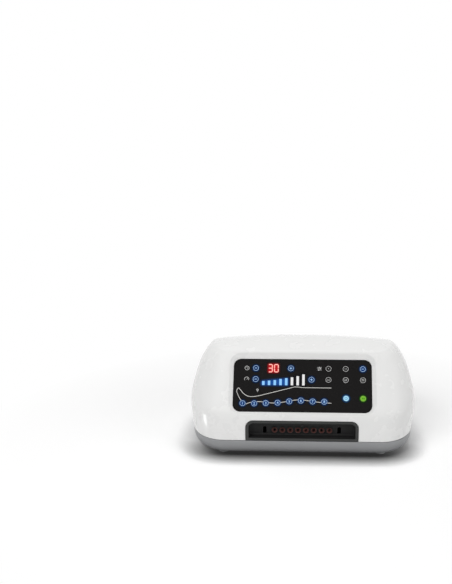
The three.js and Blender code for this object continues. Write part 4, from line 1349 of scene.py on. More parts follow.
def panel_box(node: str) -> tuple[Vector, Vector]:
    """Lowest and highest corner of a CAD node in the panel's axes, in millimetres.

    Args:
        node: The node's name.

    Returns:
        The two corners.
    """
    to_panel = PANEL.inverted()
    points = [to_panel @ (vert.co / MM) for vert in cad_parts[node].data.vertices]
    low, high = [Vector([pick(point[axis] for point in points) for axis in range(3)]) for pick in (min, max)]
    return low, high


def row_box(node: str) -> tuple[Vector, Vector]:
    """Lowest and highest corner of a CAD node in the row frame, in millimetres."""
    low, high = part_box(node)
    return low / MM, high / MM


def on_panel(bm: Mesh, across: float, up: float, height: float) -> Mesh:
    """Stands a mesh, drawn flat about the origin, at a place on the panel."""
    return move(bm, PANEL @ Matrix.Translation((across, up, height)))


def panel_ring(loop: FlatLoop, height: float) -> Loop:
    """Lays an outline on the panel at a height above its plane."""
    return [PANEL @ Vector((across, up, height)) for across, up in loop]


def panel_slab(loop: FlatLoop, low: float, high: float) -> Mesh:
    """A slab with an outline, from one height above the panel's plane to another."""
    return skin([panel_ring(loop, low), panel_ring(loop, high)])


def front_ring(loop: FlatLoop, depth: float) -> Loop:
    """Lays an upright outline on the front wall, some way behind its skin."""
    return [Vector((across, SHAPE.front_at(level) + depth, level)) for across, level in loop]


def upright_ring(loop: FlatLoop, along: float) -> Loop:
    """Stands an outline upright at a place along Y."""
    return [Vector((across, along, level)) for across, level in loop]


@dataclass
class Casing:
    """The white upper casing, the grey tub and what stands under it."""

    recess_side: float = 6.25
    recess_foot: float = 5.3
    recess_head: float = 8.2
    recess_corner: float = 18.0
    recess_depth: float = 4.5
    seat_corner: float = 10.5
    seat_play: float = 0.3
    seat_floor: float = 1.8
    tray_floor: float = 2.4
    ledge: float = 5.0
    brow_radius: float = 2.6
    rim_radius: float = 0.7
    bay_width: float = 155.0
    bay_top: float = 53.5
    bay_corner: float = 10.0
    bay_depth: float = 14.0
    mouth_radius: float = 1.5
    rear_overlap: float = 4.0
    post_diameter: float = 11.0
    shank: float = 3.5
    shank_play: float = 0.6
    well_depth: float = 9.0
    foot_seat: float = 1.2
    side_levels: int = 34
    side_last: float = 0.952
    crown_rings: int = 20
    crown_first: float = 0.93
    crown_ease: float = 0.9

    def recess_tool(self) -> Mesh:
        """The sunken border: a soft lip that rolls in from the panel, then a slope to the overlay.

        Returns:
            The tool's mesh.
        """
        low, high = panel_box("overlay_panel")
        play = self.seat_play
        inner = (low.x - play, high.x + play, low.y - play, high.y + play, self.seat_corner)
        outer = (
            low.x - self.recess_side, high.x + self.recess_side, low.y - self.recess_foot,
            high.y + self.recess_head, self.recess_corner,
        )
        roll_start, roll_end = 0.84, 1.1
        slope = self.recess_depth / ((roll_start + roll_end) / 2)
        profile = [(0.0, -self.recess_depth), (roll_start, slope * roll_start - self.recess_depth)]
        roll_steps = 7
        for step in range(1, roll_steps + 1):
            share = roll_start + (roll_end - roll_start) * step / roll_steps
            profile.append((share, -slope * (roll_end - share) ** 2 / (2 * (roll_end - roll_start))))
        profile[-1] = (roll_end, 0.04)
        profile.append((roll_end, SHAPE.wall))
        rings = []
        for share, height in profile:
            left, right, foot, head, corner = [a + (b - a) * share for a, b in zip(inner, outer)]
            loop = rounded_loop(left, right, foot, head, corner, corner, 14)
            rings.append(panel_ring(loop, height))
        return skin(rings)

    def panel_block(self, grow: float, corner: float, low: float, high: float) -> Mesh:
        """A flat block on the panel's axes round the overlay, grown by a margin all round.

        Args:
            grow: The margin.
            corner: Radius of its corners.
            low: Height of its back.
            high: Height of its face.

        Returns:
            The block's mesh.
        """
        foot, head = panel_box("overlay_panel")
        loop = rounded_loop(foot.x - grow, head.x + grow, foot.y - grow, head.y + grow, corner, corner, 14)
        return panel_slab(loop, low, high)

    def mouth_tool(self) -> Mesh:
        """The bay opening with its soft outer edge, which follows the front of the casing.

        Returns:
            The tool's mesh.
        """
        radius = self.mouth_radius
        profile = [(radius, -SHAPE.wall), (radius, -0.04)]
        profile += [(radius * (1 - math.sin(a)), radius * (1 - math.cos(a)) + 0.02)
                    for a in (math.radians(10 + 16 * step) for step in range(6))]
        rings = []
        for grow, depth in profile:
            half = self.bay_width / 2 + grow
            top, corner = self.bay_top + grow, self.bay_corner + grow
            loop = rounded_loop(-half, half, SHAPE.parting - 2, top, corner, 0.1)
            rings.append(front_ring(loop, depth))
        back = self.bay_depth - SHAPE.depth / 2
        rings.append([Vector((point.x, back, point.z)) for point in rings[-1]])
        return skin(rings)

    def columns(self, low: float, high: float, diameter: float) -> Mesh:
        """Round columns at the four screws, from one level to another.

        Args:
            low: Level of their feet.
            high: Level of their heads.
            diameter: Their diameter.

        Returns:
            One mesh with the four columns.
        """
        parts = []
        for corner in CORNERS:
            foot, head = row_box(f"screw_{corner}")
            centre = (foot + head) / 2
            column = disc(diameter / 2, low, high, 28)
            parts.append(move(column, Matrix.Translation((centre.x, centre.y, 0))))
        return merged(parts)

    def cover(self) -> None:
        """The white upper casing."""
        levels = [self.side_last * step / self.side_levels for step in range(self.side_levels + 1)] + [1.0]
        steps_in = [1 - step / self.crown_rings for step in range(self.crown_rings)]
        crown = [self.crown_first * step ** self.crown_ease for step in steps_in]
        body = skin(SHAPE.cover_rings(0, 0, levels, crown), point_end=True)
        brow = sharp_edges(body, 17, lambda edge: min(vert.co.z for vert in edge.verts) > SHAPE.panel_foot)
        round_edges(body, brow, self.brow_radius, 5)
        rim = sharp_edges(body, 60, lambda edge: max(vert.co.z for vert in edge.verts) < SHAPE.parting + 0.1)
        round_edges(body, rim, self.rim_radius, 3)
        seat_back = -self.recess_depth - self.seat_floor
        tray_back = seat_back - self.tray_floor
        tray = self.panel_block(self.recess_foot, self.recess_corner, tray_back, -SHAPE.wall / 2)
        low, high = row_box("rear_panel")
        reach = SHAPE.wall
        rear_frame = block(
            (low.x - reach, high.y + self.seat_play, low.z - reach),
            (high.x + reach, SHAPE.depth / 2, high.z + reach),
        )
        coarse = [step / 10 for step in range(11)]
        space = skin(SHAPE.cover_rings(SHAPE.wall, 2, coarse, (0.9, 0.7, 0.45, 0.2)), point_end=True)
        posts = self.columns(SHAPE.parting, SHAPE.crest + 10, self.post_diameter)
        hollow = worked(space, [(Cut.CARVE, tray), (Cut.CARVE, posts), (Cut.CARVE, rear_frame)])
        overlap = self.rear_overlap
        opening = rounded_loop(low.x + overlap, high.x - overlap, low.z + overlap, high.z - overlap, 3, 3)
        rear = skin([upright_ring(opening, low.y - 2), upright_ring(opening, SHAPE.depth / 2 + 2)])
        screw_top = row_box("screw_front_left")[1].z
        bores = self.columns(SHAPE.parting - 2, screw_top + 3, self.shank + self.shank_play)
        window = self.panel_block(-self.ledge, self.seat_corner - self.ledge, tray_back - 2, 0)
        seat = self.panel_block(self.seat_play, self.seat_corner, seat_back, 2 - self.recess_depth)
        steps = [
            (Cut.CARVE, hollow), (Cut.CARVE, self.recess_tool()), (Cut.CARVE, seat), (Cut.CARVE, window),
            (Cut.CARVE, self.mouth_tool()), (Cut.CARVE, rear), (Cut.CARVE, bores),
        ]
        made = worked(body, steps)
        Piece("casing_cover", made, [WHITE_ABS], replaces=["top_cover"], slot="casing_white").place()

    def tub(self) -> None:
        """The grey tub with its screw wells and foot seats."""
        rim = SHAPE.parting - SHAPE.parting_gap
        body = skin(SHAPE.tub_rings(0, SHAPE.floor, rim, 16))
        upper = sharp_edges(body, 50, lambda edge: min(vert.co.z for vert in edge.verts) > rim - 0.1)
        round_edges(body, upper, self.rim_radius, 3)
        hollow = skin(SHAPE.tub_rings(SHAPE.wall, SHAPE.floor + SHAPE.wall, rim + 2, 6))
        head = row_box("screw_front_left")
        well = head[1].x - head[0].x + self.shank_play
        seats = []
        for corner in CORNERS:
            low, high = row_box(f"foot_{corner}")
            centre = (low + high) / 2
            radius = (high.x - low.x) / 2 + self.seat_play
            seat = disc(radius, SHAPE.floor - 2, SHAPE.floor + self.foot_seat)
            seats.append(move(seat, Matrix.Translation((centre.x, centre.y, 0))))
        steps = [
            (Cut.CARVE, hollow), (Cut.JOIN, self.columns(SHAPE.floor + 1, rim, self.post_diameter)),
            (Cut.CARVE, self.columns(SHAPE.floor - 2, SHAPE.floor + self.well_depth, well)),
            (Cut.CARVE, self.columns(SHAPE.floor, rim + 2, self.shank + self.shank_play)),
            (Cut.CARVE, merged(seats)),
        ]
        made = worked(body, steps)
        Piece("casing_tub", made, [GREY_ABS], replaces=["base_tub"], slot="casing_grey").place()

    def foot(self, corner: str) -> None:
        """One rubber foot: a round pad with a soft edge and a shallow ring in its sole.

        Args:
            corner: The corner that it stands at.
        """
        low, high = row_box(f"foot_{corner}")
        centre, radius = (low + high) / 2, (high.x - low.x) / 2
        sole, groove = 0.62 * radius, 0.5
        profile = [
            (0, groove), (sole - 1, groove), (sole, 0), (radius - 1.2, 0), (radius - 0.35, 0.35),
            (radius, 1.2), (radius, high.z - 0.2), (radius - 0.3, high.z), (0, high.z),
        ]
        pad = move(body_of_turning(profile), Matrix.Translation((centre.x, centre.y, 0)))
        node = f"foot_{corner}"
        Piece(f"foot_pad_{corner}", pad, [FOOT_RUBBER], replaces=[node], slot="foot_rubber").place()

    def build(self) -> None:
        """Builds and places the whole casing."""
        self.cover()
        self.tub()
        for corner in CORNERS:
            self.foot(corner)


class Mark(Enum):
    """What is printed on a key."""

    MINUS = "minus"
    PLUS = "plus"
    PIPS = "pips"
    NUMBER = "number"
    POWER = "power"
    START = "start"


@dataclass(frozen=True)
class KeyLook:
    """How a key is printed and lit."""

    mark: Mark
    count: int = 0
    ring: Ink | None = None
    fill: Ink | None = None
    sign: Ink = INK_WHITE_PAINTED_GLOW
    slot: str = "key_cap"
    bloom: str = ""


def key_looks() -> dict[str, KeyLook]:
    """Returns the look of every key by its node's name.

    Returns:
        The looks by name.
    """
    lit = {"ring": LAMP_BLUE, "sign": SIGN_BLUE, "slot": "key_lit_blue", "bloom": "#0a3568"}
    looks = {}
    for name, mark in (("minus", Mark.MINUS), ("plus", Mark.PLUS)):
        for row in ("time", "pressure"):
            looks[f"key_{row}_{name}"] = KeyLook(mark, fill=FILL_NIGHT, **lit)
    for order, letter in enumerate("abcdef"):
        looks[f"key_mode_{letter}"] = KeyLook(Mark.PIPS, order + 1, ring=INK_WHITE_PAINTED_GLOW)
    looks["key_mode_c"] = KeyLook(Mark.PIPS, 3, fill=LAMP_BLUE_DEEP, **lit)
    for number in range(1, 9):
        looks[f"key_chamber_{number}"] = KeyLook(Mark.NUMBER, number, fill=LAMP_BLUE_DEEP, **lit)
    looks["key_power"] = KeyLook(Mark.POWER, 0, None, LAMP_PALE, SIGN_DEEP, "key_lit_pale", "#0c4a80")
    looks["key_start"] = KeyLook(
        Mark.START, 0, LAMP_GREEN_RIM, LAMP_GREEN, LAMP_GREEN_DARK, "key_lit_green", "#1c5207",
    )
    return looks


@dataclass
class KeyPanel:
    """The glossy overlay with its keys, its displays and its print."""

    corner: float = 10.5
    edge_radius: float = 0.35
    print_height: float = 0.05
    sink: float = 0.02
    cap_edge: float = 0.3
    ring_width: float = 0.42
    ring_inset: float = 0.05
    line_width: float = 0.62
    numeral_height: float = 3.6
    pip_radius: float = 0.46
    pip_rise: float = 1.7
    pip_spread: Pair = (0.95, 1.3)
    power_radius: float = 1.75
    power_line: float = 0.55
    power_stroke: float = 0.56
    segment_width: float = 1.35
    segment_gap: float = 0.28
    digit_height: float = 12.1
    digit_width: float = 6.6
    digit_pitch: float = 8.3
    bar_width: float = 3.5
    bar_heights: tuple[float, ...] = (5.7, 6.4, 7.2, 8.9, 10.2, 11.4, 13.2, 15.8)
    bars_lit: int = 5
    window_margin: float = 1.6
    lamp_proud: float = 0.15
    play: float = 0.3
    bloom_reach: float = 2.0
    bloom_steps: int = 6
    bloom_height: float = 0.02
    bloom_fall: float = 1.6
    red_grow: Pair = (0.4, 0.6)
    red_fade: float = 2.0
    blue_grow: Pair = (-0.3, 0.7)
    blue_fade: float = 2.2

    def __post_init__(self) -> None:
        """Reads the overlay's place from the frame."""
        self.low, self.high = panel_box("overlay_panel")
        self.face = self.high.z

    def window_loops(self, grow: float) -> list[list[Pair]]:
        """Outlines of the two display windows, grown by a margin: the time's and the bars'.

        Args:
            grow: The margin.

        Returns:
            The two outlines.
        """
        low, high = panel_box("time_display")
        time = rounded_loop(low.x - grow, high.x + grow, low.y - grow, high.y + grow, 0.8, 0.8, 4)
        low, high = panel_box("pressure_bargraph")
        pitch = (high.x - low.x) / len(self.bar_heights)
        right = high.x + grow
        stairs = [(low.x - grow, low.y - grow), (right, low.y - grow), (right, high.y + grow)]
        for order in range(len(self.bar_heights) - 1, 0, -1):
            left = low.x + order * pitch - grow
            for height in (self.bar_heights[order], self.bar_heights[order - 1]):
                stairs.append((left, low.y + height + 2 * self.window_margin + grow))
        stairs.append((low.x - grow, low.y + self.bar_heights[0] + 2 * self.window_margin + grow))
        return [time, stairs]

    def glows(self) -> tuple[GlowField, GlowField]:
        """The light fields of the two displays: red round the digits, blue round the lit bars.

        Returns:
            The two fields.
        """
        low, high = panel_box("time_display")
        middle = (low + high) / 2
        wider, taller = self.red_grow
        digits = ((self.digit_pitch + self.digit_width) / 2 + wider, self.digit_height / 2 + taller)
        red = GlowField("#c00d18", (middle.x, middle.y), digits, self.red_fade, self.face)
        low, high = panel_box("pressure_bargraph")
        lit_half = self.bars_lit * (high.x - low.x) / len(self.bar_heights) / 2
        first, last = self.bar_heights[0], self.bar_heights[self.bars_lit - 1]
        tall = (first + last) / 4
        centre = (low.x + lit_half, low.y + self.window_margin + tall)
        wider, taller = self.blue_grow
        half = (lit_half + wider, tall + taller)
        blue = GlowField("#10509f", centre, half, self.blue_fade, self.face, last - first)
        return red, blue

    def overlay(self) -> None:
        """The overlay: a black gloss sheet with a soft edge, a hole for each key and the windows."""
        outline = (self.low.x, self.high.x, self.low.y, self.high.y, self.corner)
        rings = []
        for shrink, height in ((0, self.low.z), (0, self.face - self.edge_radius),
                               (self.edge_radius * 0.3, self.face - self.edge_radius * 0.3),
                               (self.edge_radius, self.face)):
            left, right, low, high, corner = outline
            loop = rounded_loop(
                left + shrink, right - shrink, low + shrink, high - shrink,
                corner - shrink, corner - shrink, 14,
            )
            rings.append(panel_ring(loop, height))
        sheet = skin(rings)
        tools = self.key_holes()
        for loop in self.window_loops(self.play):
            tools.append(panel_slab(loop, self.low.z - 1, self.face + 1))
        carved = worked(sheet, [(Cut.CARVE, merged(tools))])
        film = replace(FILM, glows=self.glows())
        Piece("overlay_sheet", carved, [film], replaces=["overlay_panel"], slot="overlay_black").place()

    def key_holes(self) -> list[Mesh]:
        """Round tools that cut a hole for every key.

        Returns:
            The tools' meshes.
        """
        tools = []
        for node in key_looks():
            low, high = panel_box(node)
            hole = disc(self.cap_radius(node) + self.play, self.low.z - 1, self.face + 1)
            tools.append(on_panel(hole, (low.x + high.x) / 2, (low.y + high.y) / 2, 0))
        return tools

    def cap_radius(self, node: str) -> float:
        """Radius of a key's cap: its flange stands out one millimetre all round."""
        low, high = panel_box(node)
        return (high.x - low.x) / 2 - 1

    def mark_mesh(self, look: KeyLook, radius: float) -> Mesh:
        """The sign printed on a key, flat about the origin.

        Args:
            look: How the key is printed.
            radius: Radius of the face that the sign stands in.

        Returns:
            The sign's mesh.
        """
        arm, stroke, high = radius / 2, self.line_width, self.print_height
        flat = block((-arm, -stroke / 2, 0), (arm, stroke / 2, high))
        if look.mark is Mark.MINUS:
            return flat
        if look.mark is Mark.PLUS:
            return merged([flat, block((-stroke / 2, -arm, 0), (stroke / 2, arm, high))])
        flat.free()
        if look.mark is Mark.NUMBER:
            return figure(str(look.count), self.numeral_height, high)
        if look.mark is Mark.PIPS:
            across = {1: (0,), 2: (-1, 1), 3: (-1, 0, 1)}
            rows = [look.count] if look.count < 4 else [look.count // 2, look.count - look.count // 2]
            pips = []
            for row, pip_count in enumerate(rows):
                up = (len(rows) - 1) / 2 - row
                for place in across[pip_count]:
                    spread = self.pip_spread[pip_count == 3]
                    pip = disc(self.pip_radius, 0, high, 16)
                    pips.append(move(pip, Matrix.Translation((place * spread, up * self.pip_rise, 0))))
            return merged(pips)
        if look.mark is Mark.POWER:
            angles = [math.radians(degrees) for degrees in range(35, 326, 10)]
            arc = [(self.power_radius * math.sin(a), self.power_radius * math.cos(a)) for a in angles]
            half = self.power_stroke / 2
            return merged([ribbon(arc, self.power_line, high), block((-half, 0.5, 0), (half, 2.2, high))])
        play = bmesh.new()
        bmesh.ops.create_circle(play, cap_ends=True, radius=1.25, segments=3)
        move(play, Matrix.Translation((-0.75, 0, 0)) @ Matrix.Rotation(-math.pi / 2, 4, "Z"))
        bars = [block((x, -1.05, 0), (x + 0.55, 1.05, high)) for x in (0.75, 1.65)]
        return merged([thickened(play, high), *bars])

    def key(self, node: str, look: KeyLook) -> None:
        """One key: its cap with a flange, and what is printed on it, all on the key's own body.

        Args:
            node: The key's node.
            look: How it is printed and lit.
        """
        low, high = panel_box(node)
        across, up = (low.x + high.x) / 2, (low.y + high.y) / 2
        radius, top, edge = self.cap_radius(node), high.z, self.cap_edge
        flange = low.z + 0.8
        profile = [
            (0, low.z), (radius + 1, low.z), (radius + 1, flange), (radius, flange), (radius, top - edge),
            (radius - 0.09, top - 0.09), (radius - edge, top), (0, top),
        ]
        cap = on_panel(body_of_turning(profile), across, up, 0)
        Piece(f"{node}_cap", cap, [KEY_PLASTIC], node, [node], "key_cap").place()
        seat = top - self.sink
        prints = []
        rim, lift = radius - edge, 0.0
        if look.fill:
            prints.append(("fill", disc(rim, 0, self.print_height), look.fill, lift))
            lift = self.print_height
        if look.ring:
            rim -= self.ring_inset
            prints.append(("ring", annulus(rim, rim - self.ring_width, self.print_height), look.ring, lift))
            rim -= self.ring_width
        prints.append(("sign", self.mark_mesh(look, rim), look.sign, lift))
        for part, bm, ink, lift in prints:
            placed = on_panel(bm, across, up, seat + lift)
            Piece(f"{node}_{part}", placed, [ink], node, slot=look.slot).place()

    def bloom(self) -> None:
        """The tinted blooms on the film round the lit keys, with their colour stored on the points."""
        rings = []
        for node, look in key_looks().items():
            if not look.bloom:
                continue
            low, high = panel_box(node)
            inner = self.cap_radius(node) + self.play
            shares = [step / self.bloom_steps for step in range(self.bloom_steps + 1)]
            radii = [inner + self.bloom_reach * share for share in shares]
            profile = [(radius, self.bloom_height) for radius in radii] + [(radii[-1], 0), (inner, 0)]
            ring = body_of_turning(profile, 40, closed=True)
            layer = ring.verts.layers.float_color.new(BLOOM.attribute)
            for vert in ring.verts:
                share = 1 - (math.hypot(vert.co.x, vert.co.y) - inner) / self.bloom_reach
                vert[layer] = linear(look.bloom, max(share, 0) ** self.bloom_fall)
            middle = (low + high) / 2
            rings.append(on_panel(ring, middle.x, middle.y, self.face - self.bloom_height / 2))
        Piece("lamp_blooms", merged(rings), [BLOOM], slot="overlay_black").place()

    def segment(self, across: float, up: float, length: float, upright: bool, height: float) -> Mesh:
        """One lit segment with pointed ends, about its middle.

        Args:
            across: Where its middle lies across.
            up: Where its middle lies up the slope.
            length: Its length.
            upright: Whether it stands upright.
            height: How far it is raised.

        Returns:
            The segment's mesh.
        """
        half, point = self.segment_width / 2, length / 2
        line = [(-point, 0), (half - point, -half), (point - half, -half), (point, 0), (point - half, half),
                (half - point, half)]
        if upright:
            line = [(-y, x) for x, y in line]
        return skin([[Vector((across + x, up + y, level)) for x, y in line] for level in (0, height)])

    def time_display(self) -> None:
        """The two-digit time display: a smoked window that glows red round its lit segments."""
        low, high = panel_box("time_display")
        window, _ = self.window_loops(0)
        top = self.face
        slab = panel_slab(window, low.z, top)
        middle = (low + high) / 2
        glow = GlowWindow("display_window_red", "#150a0b", self.glows()[0])
        Piece("time_window", slab, [glow], replaces=["time_display"], slot="display_face").place()
        side = (self.digit_width - self.segment_width) / 2
        rise = (self.digit_height - self.segment_width) / 2
        flat, tall = 2 * side - self.segment_gap, rise - self.segment_gap
        places = [
            (0, rise, False), (-side, rise / 2, True), (side, rise / 2, True), (0, 0, False),
            (-side, -rise / 2, True), (side, -rise / 2, True), (0, -rise, False),
        ]
        lit = {"3": (1, 0, 1, 1, 0, 1, 1), "0": (1, 1, 1, 0, 1, 1, 1)}
        parts = []
        for numeral, shift in (("3", -self.digit_pitch / 2), ("0", self.digit_pitch / 2)):
            for on, (x, y, upright) in zip(lit[numeral], places):
                if on:
                    length = tall if upright else flat
                    parts.append(self.segment(x + shift, y, length, upright, self.lamp_proud))
        digits = on_panel(merged(parts), middle.x, middle.y, top - self.sink)
        Piece("time_digits", digits, [SEGMENT_RED], slot="display_face").place()

    def bargraph(self) -> None:
        """The eight pressure bars: five lit blue and three unlit white ones on a smoked window."""
        low, high = panel_box("pressure_bargraph")
        _, stairs = self.window_loops(0)
        top = self.face
        slab = panel_slab(stairs, low.z, top)
        pitch = (high.x - low.x) / len(self.bar_heights)
        foot = low.y + self.window_margin
        glow = GlowWindow("display_window_blue", "#0d0e12", self.glows()[1])
        Piece("bar_window", slab, [glow], replaces=["pressure_bargraph"], slot="display_face").place()
        # The unlit white bars carry a painted glow.
        groups = {"bars_lit": ([], BAR_LIT), "bars_unlit": ([], BAR_WHITE_PAINTED_GLOW)}
        for order, height in enumerate(self.bar_heights):
            middle = low.x + (order + 0.5) * pitch
            bar = block(
                (middle - self.bar_width / 2, foot, 0),
                (middle + self.bar_width / 2, foot + height, self.lamp_proud), 0.06, 2,
            )
            groups["bars_lit" if order < self.bars_lit else "bars_unlit"][0].append(bar)
        for name, (bars, ink) in groups.items():
            Piece(name, on_panel(merged(bars), 0, 0, top - self.sink), [ink], slot="display_face").place()

    def leg_line(self) -> None:
        """The grey outline of a leg that the chamber keys lie along."""
        foot = self.low.y
        upper = [
            (-77.5, 10.6), (-84.5, 16), (-90.2, 26.5), (-90.4, 31), (-88.3, 33.4), (-85.8, 31), (-81, 25.4),
            (-75, 21.9), (-69, 21.3), (-61, 22.4), (-40, 27.9), (-19, 33.5), (-11.5, 35.6), (-5, 35.6),
            (0, 34.9), (10, 34.8), (40, 34.8),
        ]
        lower = [
            (-77.5, 10.6), (-73, 12.6), (-67.5, 13.8), (-58, 14.2), (-42, 12.6), (-30, 13.3), (-12, 16.7),
            (-2, 17.4), (8, 16.3), (22, 14.4), (32, 13.6), (40, 13.2),
        ]
        lines = []
        for points in (upper, lower):
            route = [(x, y + foot) for x, y in smooth_line(points)]
            line = ribbon(route, self.line_width, self.print_height)
            on_panel(line, 0, 0, self.face - self.sink)
            lines.append(worked(line, [(Cut.CARVE, merged(self.key_holes()))]))
        Piece("leg_outline_print", merged(lines), [INK_GREY_PAINTED_GLOW], slot="overlay_black").place()

    def pictograms(self) -> None:
        """Small generic signs: a clock, a pressure dial, a slider bank and a place mark."""
        high, stroke = self.print_height, 0.5
        arc = [(3 * math.cos(math.radians(a)), 3 * math.sin(math.radians(a))) for a in range(-30, 211, 12)]
        clock = merged([annulus(3.1, 2.6, high, 32), ribbon([(0, 1.9), (0, 0), (1.3, -0.6)], stroke, high)])
        dial = merged([ribbon(arc, stroke, high), ribbon([(0, -0.6), (1.5, 1.5)], stroke, high)])
        sliders = []
        for row, knob in ((-1.9, -1.2), (0, 1.1), (1.9, -0.2)):
            sliders.append(block((-3, row - 0.2, 0), (3, row + 0.2, high)))
            sliders.append(move(disc(0.75, 0, high, 20), Matrix.Translation((knob, row, 0))))
        pin = merged([annulus(1.5, 0.9, high, 24), ribbon([(0, -1.5), (0, -2.9)], stroke, high)])
        time = panel_box("key_time_minus")
        pressure = panel_box("key_pressure_minus")
        mode = panel_box("key_mode_a")
        gap = 9.5
        placed = []
        for sign, (low, upper) in ((clock, time), (dial, pressure), (merged(sliders), mode)):
            middle = (low + upper) / 2
            placed.append(on_panel(sign, middle.x - gap - 3, middle.y, self.face - self.sink))
        placed.append(on_panel(pin, -62, self.low.y + 31, self.face - self.sink))
        Piece("pictogram_print", merged(placed), [INK_WHITE_PAINTED_GLOW], slot="overlay_black").place()

    def build(self) -> None:
        """Builds and places the whole panel."""
        self.overlay()
        for node, look in key_looks().items():
            self.key(node, look)
        self.time_display()
        self.bargraph()
        self.bloom()
        self.leg_line()
        self.pictograms()


@dataclass
class HoseBay:
    """The charcoal bay in the front wall, with its ports, latch slots and receiver eye."""

    width: float = 155.0
    back: float = -96.0
    wall: float = 3.0
    play: float = 0.3
    side: float = 4.0
    lip: float = 3.4
    rim_radius: float = 0.9
    painted_light_rim_depth: float = 1.15
    corner: float = 10.0
    foot_corner: float = 1.2
    inner_fillet: float = 2.2
    boss_diameter: float = 10.4
    boss_proud: float = 1.5
    lip_diameter: float = 7.9
    lip_proud: float = 0.7
    bore: float = 5.0
    latch_from_centre: float = 51.5
    latch_size: Pair = (4.8, 9.8)
    port_count: int = 8
    port_pitch: float = 10.85
    port_level: float = 36.4
    eye_rise: float = 6.0
    eye_diameter: float = 3.0

    def along_ports(self, made: Callable[[], Mesh]) -> Mesh:
        """Copies a mesh, drawn about Z, to every port with its Z turned to face the front.

        Args:
            made: Makes the mesh for one port.

        Returns:
            One mesh with all the copies.
        """
        parts = []
        for port in range(self.port_count):
            across = (port - (self.port_count - 1) / 2) * self.port_pitch
            turn = Matrix.Rotation(math.pi / 2, 4, "X")
            parts.append(move(made(), Matrix.Translation((across, self.back, self.port_level)) @ turn))
        return merged(parts)

    def bay(self) -> None:
        """The bay's body: a rim with a soft edge, a filleted hollow, bosses and slots."""
        low, high = row_box("port_bay")
        half = self.width / 2 - self.play
        top = high.z
        rings = []
        for shrink, depth in ((0.7, 0.12), (0.25, 0.22), (0.0, 0.75)):
            loop = rounded_loop(-half + shrink, half - shrink, low.z, top - shrink, self.corner, 0.1)
            rings.append(front_ring(loop, depth))
        rings.append([Vector((point.x, self.back + self.wall, point.z)) for point in rings[-1]])
        body = skin(rings)
        inner = (half - self.side, low.z + self.lip, top - self.lip, self.corner - self.lip)
        profile = [(self.rim_radius, -1.5), (self.rim_radius, 0.15)]
        profile += [(self.rim_radius * (1 - math.sin(a)), 0.2 + self.rim_radius * (1 - math.cos(a)))
                    for a in (math.radians(15 + 15 * step) for step in range(6))]
        tool = []
        for grow, depth in profile:
            side, foot, head, corner = inner
            loop = rounded_loop(
                -side - grow, side + grow, foot - grow, head + grow, corner + grow, self.foot_corner + grow,
            )
            tool.append(front_ring(loop, depth))
        for step in range(7):
            angle = math.radians(90 * step / 6)
            shrink = self.inner_fillet * (1 - math.cos(angle))
            along = self.back - self.inner_fillet * (1 - math.sin(angle))
            side, foot, head, corner = inner
            loop = rounded_loop(
                -side + shrink, side - shrink, foot + shrink, head - shrink,
                max(corner - shrink, 0.3), max(self.foot_corner - shrink, 0.2),
            )
            tool.append(upright_ring(loop, along))
        hollow = skin(tool)
        radius, proud = self.boss_diameter / 2, self.boss_proud
        boss = [(0, -1), (radius, -1), (radius, proud - 0.4), (radius - 0.4, proud), (0, proud)]
        bosses = self.along_ports(lambda: body_of_turning(boss, 32))
        hole = self.lip_diameter / 2 + self.play
        holes = self.along_ports(lambda: disc(hole, -self.wall - 1, proud + 1, 32))
        slots = []
        for side in (-1, 1):
            width, height = self.latch_size
            loop = rounded_loop(
                side * self.latch_from_centre - width / 2, side * self.latch_from_centre + width / 2,
                self.port_level - height / 2, self.port_level + height / 2, 1.4, 0.4, 4,
            )
            ends = (self.back - 3, self.back + self.wall + 1)
            slots.append(skin([upright_ring(loop, along) for along in ends]))
        eye = disc(self.eye_diameter / 2 + self.play, -self.wall - 1, 2, 24)
        turn = Matrix.Rotation(math.pi / 2, 4, "X")
        move(eye, Matrix.Translation((0, self.back, self.port_level + self.eye_rise)) @ turn)
        openings = merged([*slots, eye])
        steps = [(Cut.CARVE, hollow), (Cut.JOIN, bosses), (Cut.CARVE, holes), (Cut.CARVE, openings)]
        made = worked(body, steps)
        # Painted light and shade: faces near the front get the lighter rim copy of the charcoal, and the
        # deeper faces get the darker one.
        for face in made.faces:
            middle = face.calc_center_median()
            if middle.y - SHAPE.front_at(middle.z) < self.painted_light_rim_depth:
                face.material_index = 1
        finishes = [BAY_PLASTIC, BAY_RIM_PAINTED_LIGHT]
        Piece("hose_bay", made, finishes, replaces=["port_bay"], slot="bay_charcoal").place()

    def gasket(self) -> None:
        """The silicone gasket: a strip behind the wall with eight rolled lips through it."""
        low, high = row_box("port_gasket")
        strip = block((low.x, self.back + self.wall + self.play, low.z), high, 0.5)
        radius, bore = self.lip_diameter / 2, self.bore / 2
        reach = self.boss_proud + self.lip_proud
        back = -(high.y - self.back)
        profile = [
            (bore, back), (radius, back), (radius, reach - 0.9), (radius - 0.3, reach - 0.3),
            (radius - 0.75, reach), (bore + 0.75, reach), (bore + 0.25, reach - 0.3), (bore, reach - 1),
        ]
        lips = self.along_ports(lambda: body_of_turning(profile, 36, closed=True))
        bores = self.along_ports(lambda: disc(bore, back - 1, -1, 36))
        made = worked(strip, [(Cut.CARVE, bores), (Cut.JOIN, lips)])
        finishes = [GASKET_SILICONE]
        Piece("gasket_lips", made, finishes, replaces=["port_gasket"], slot="gasket_silicone").place()

    def eye(self) -> None:
        """The receiver eye: a small smoked lens with a domed front."""
        low, high = row_box("ir_receiver")
        radius = (high.x - low.x) / 2
        length = high.y - low.y
        profile = [(0, 0), (radius, 0), (radius, length - 0.7), (radius * 0.85, length - 0.25), (0, length)]
        lens = body_of_turning(profile, 32)
        turn = Matrix.Rotation(math.pi / 2, 4, "X")
        centre = (low + high) / 2
        move(lens, Matrix.Translation((centre.x, high.y, centre.z)) @ turn)
        Piece("receiver_eye", lens, [EYE_LENS], replaces=["ir_receiver"], slot="receiver_lens").place()

    def build(self) -> None:
        """Builds and places the bay."""
        self.bay()
        self.gasket()
        self.eye()


